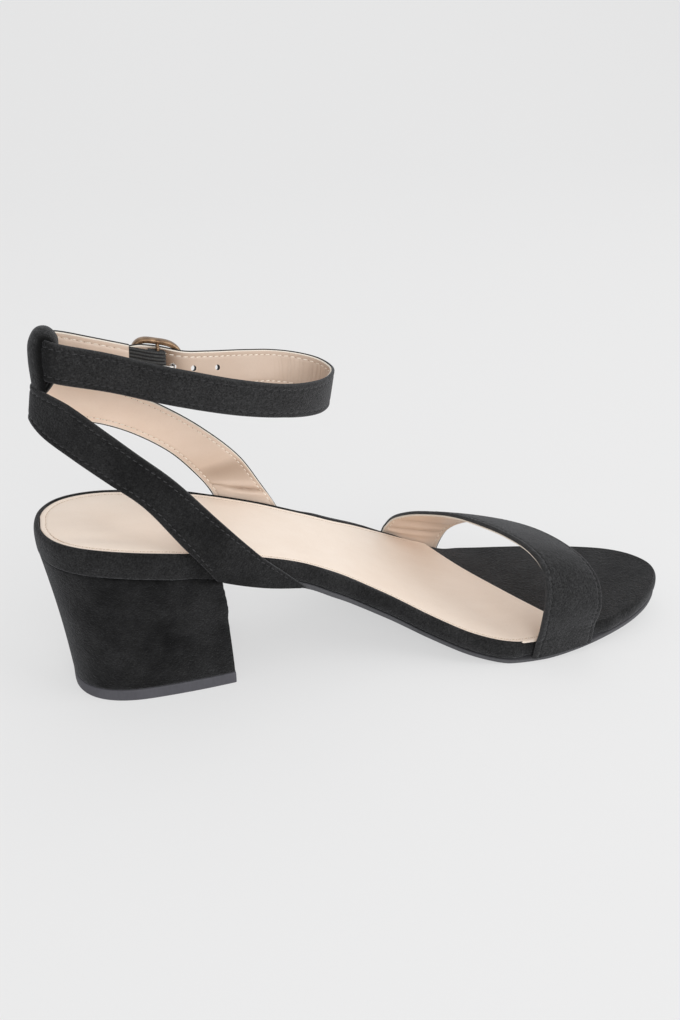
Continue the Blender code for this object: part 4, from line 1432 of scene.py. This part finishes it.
def build_buckle():
    ring = []
    for angle in np.linspace(0, 2 * math.pi, 120, endpoint=False):
        c, s = math.cos(angle), math.sin(angle)
        along = FRAME_HALF_LENGTH * math.copysign(abs(c) ** FRAME_ROUND, c)
        up = FRAME_HALF_HEIGHT * math.copysign(abs(s) ** FRAME_ROUND, s)
        ring.append(buckle_place(along, up, frame_y(along)))
    ring = path_through(np.array(ring + ring[:1]), 180)
    across, away = rounded_section(2 * FRAME_RADIUS, 1.0, 28, 3.4)
    up = ring[:-1] - buckle_place(0, 0, 0)
    beside = np.clip(np.abs(up @ strap_up(BUCKLE_STATION, OUTER_SIDE)) / FRAME_HALF_HEIGHT, 0, 1) ** 2
    depth = FRAME_DEPTH[0] + (FRAME_DEPTH[1] - FRAME_DEPTH[0]) * beside
    rings = swept_rings(ring[:-1], (across[None], depth[:, None] * away[None]), closed=True)
    shut = np.concatenate([rings, rings[:1]])
    shut = np.concatenate([shut, shut[:, :1]], axis=1)
    flat = np.zeros((*shut.shape[:2], 2))
    hoop, _ = laid_grid("buckle_hoop", shut, flat)
    hoop.data.materials.append(BRONZE)
    keep(close_up(hoop), "buckle_metal", "buckle_frame")
    reach = np.linspace(-1, 1, 60)
    bent = BAR_Y + FRAME_BOW_MIDDLE * ease((np.abs(reach) - 0.8) / 0.2)
    ends = np.array([buckle_place(0, s * FRAME_HALF_HEIGHT, y) for s, y in zip(reach, bent)])
    round_bar = rounded_section(2 * BAR_RADIUS, 2 * BAR_RADIUS, 24, 2.0)
    bar = swept_rings(ends, (round_bar[0][None], round_bar[1][None]))
    keep(closed_loft("buckle_bar", bar, [BRONZE]), "buckle_metal", "buckle_frame")
    rest = frame_y(FRAME_HALF_LENGTH) + FRAME_RADIUS + GAP + PRONG_RADIUS
    pin = [(1.2, 2.3), (4.0, 2.6), (5.0, 3.3), (5.2, 5.9), (5.7, rest - 0.5), (7.0, rest), (9.4, rest)]
    bent = path_through(np.array([buckle_place(along, HOLE_RISE, y) for along, y in pin]), 70)
    thin = np.interp(np.linspace(0, 1, 70), (0, 0.8, 0.97, 1.0), (1.0, 1.0, 0.8, 0.45)) * PRONG_RADIUS
    angle = (np.arange(16) + 0.5) / 16 * 2 * math.pi
    prong = swept_rings(bent, (np.outer(thin, np.cos(angle)), np.outer(thin, np.sin(angle))))
    keep(closed_loft("buckle_pin", prong, [STEEL]), "prong_metal", "buckle_prong")


def build_elastic():
    wrap = BAR_RADIUS + ELASTIC_CLEAR + ELASTIC_THICK / 2
    rows = [(ELASTIC_REAR, 3.45), (ELASTIC_REAR + 2.5, 3.05), (ELASTIC_REAR + 5.8, 2.55)]
    rows += [(BUCKLE_STATION - 3.0, BAR_Y - wrap)]
    for angle in np.linspace(-90, 90, 7):
        a = math.radians(angle)
        rows.append((BUCKLE_STATION + ELASTIC_AHEAD * math.cos(a), BAR_Y + wrap * math.sin(a)))
    rows += [(BUCKLE_STATION - 1.6, BAR_Y + wrap), (BUCKLE_STATION - 3.2, BAR_Y + wrap - 0.2)]
    rows = np.asarray(rows)
    path = path_through(np.column_stack([rows, strap_middle_z(rows[:, 0], OUTER_SIDE)]), 120)
    path[:, 2] = strap_middle_z(path[:, 0], OUTER_SIDE) - ELASTIC_DROP
    up = strap_up(path[:, 0], OUTER_SIDE)
    out = np.cross(unit(np.gradient(path, axis=0)), up)
    w = np.linspace(-0.5, 0.5, 121)
    rib = ELASTIC_RIB_HEIGHT * np.abs(np.sin(w * math.pi * ELASTIC_RIBS)) ** 0.8
    half = ELASTIC_THICK / 2 * np.sqrt(np.clip(1 - (np.abs(w) * 2) ** 12, 0, 1)) - ELASTIC_RIB_HEIGHT / 2
    across = np.concatenate([w, w[::-1]]) * ELASTIC_WIDTH
    away = np.concatenate([half + rib, -(half + rib)[::-1]])
    rings = path[:, None] + up[:, None] * across[None, :, None] + out[:, None] * away[None, :, None]
    # rib height, which the elastic's finish turns into painted light on the rib tops and painted shade in
    # the grooves
    rib_light_share = np.tile(np.concatenate([rib, rib[::-1]]) / ELASTIC_RIB_HEIGHT, (len(path), 1))
    keep(closed_loft("elastic_band", rings, [ELASTIC], edge=rib_light_share), "elastic", "elastic_loop")


build_footbed()
build_outsole()
build_sock()
build_heel_block()
build_heel_tip()
build_toe_strap()
build_sling()
build_keeper()
build_ankle_strap()
build_elastic()
build_buckle()


# Studio

FLOOR_HALF_WIDTH = 3000.0
FLOOR_FRONT = -1500.0
SWEEP_START = 900.0
SWEEP_RADIUS = 900.0
WALL_TOP = 2600.0


def build_backdrop():
    """Floor that sweeps up into a wall."""
    angle = np.linspace(0, math.pi / 2, 24)
    rise = [(FLOOR_FRONT, 0.0)]
    rise += [(SWEEP_START + SWEEP_RADIUS * math.sin(a), SWEEP_RADIUS * (1 - math.cos(a))) for a in angle]
    rise += [(SWEEP_START + SWEEP_RADIUS, WALL_TOP)]
    rise = np.array(rise)
    wide = np.linspace(-FLOOR_HALF_WIDTH, FLOOR_HALF_WIDTH, 5)
    places = np.zeros((len(rise), len(wide), 3))
    places[..., 0] = wide
    places[..., 1] = rise[:, :1]
    places[..., 2] = rise[:, 1:]
    floor, _ = laid_grid("backdrop", places - SHIFT, places[..., :2])
    floor.data.materials.append(BACKDROP)
    bpy.ops.object.shade_smooth()


def soft_light(name, place, aim, size, power):
    bpy.ops.object.light_add(type="AREA", location=place)
    light = bpy.context.object
    light.name = name
    light.data.shape = "RECTANGLE"
    light.data.size, light.data.size_y = size
    light.data.energy = power
    away = np.array(place) - np.array(aim)
    tilt = math.acos(away[2] / np.linalg.norm(away))
    light.rotation_euler = (tilt, 0, math.atan2(away[1], away[0]) + math.pi / 2)


build_backdrop()
soft_light("overhead", (0.3, 0.1, 1.7), (0, 0, 0), (1.8, 1.8), 8)
soft_light("toe_side", (1.4, -0.8, 0.75), (0, 0, 0.06), (1.2, 1.0), 12)
soft_light("camera_side", (0.0, -1.4, 0.75), (0, 0, 0.06), (1.0, 0.8), 9)
world = bpy.context.scene.world or bpy.data.worlds.new("studio")
bpy.context.scene.world = world
world.use_nodes = True
world.node_tree.nodes["Background"].inputs["Color"].default_value = (1.0, 1.0, 1.0, 1.0)
world.node_tree.nodes["Background"].inputs["Strength"].default_value = 0.5

# Camera: where the photograph was taken from, turned to frame the whole shoe
CAMERA_PLACE = np.array([22.92, -317.92, 234.19])
CAMERA_YAW = 15.0
CAMERA_PITCH = 28.5
CAMERA_LENS = 35.3

bpy.ops.object.camera_add(
    location=(CAMERA_PLACE + SHIFT) * MM,
    rotation=(math.radians(90 - CAMERA_PITCH), 0, -math.radians(CAMERA_YAW)),
)
camera = bpy.context.object
camera.data.lens = CAMERA_LENS
camera.data.sensor_width = 36.0
camera.data.clip_start = 0.01
bpy.context.scene.camera = camera
bpy.context.scene.view_settings.view_transform = "Standard"
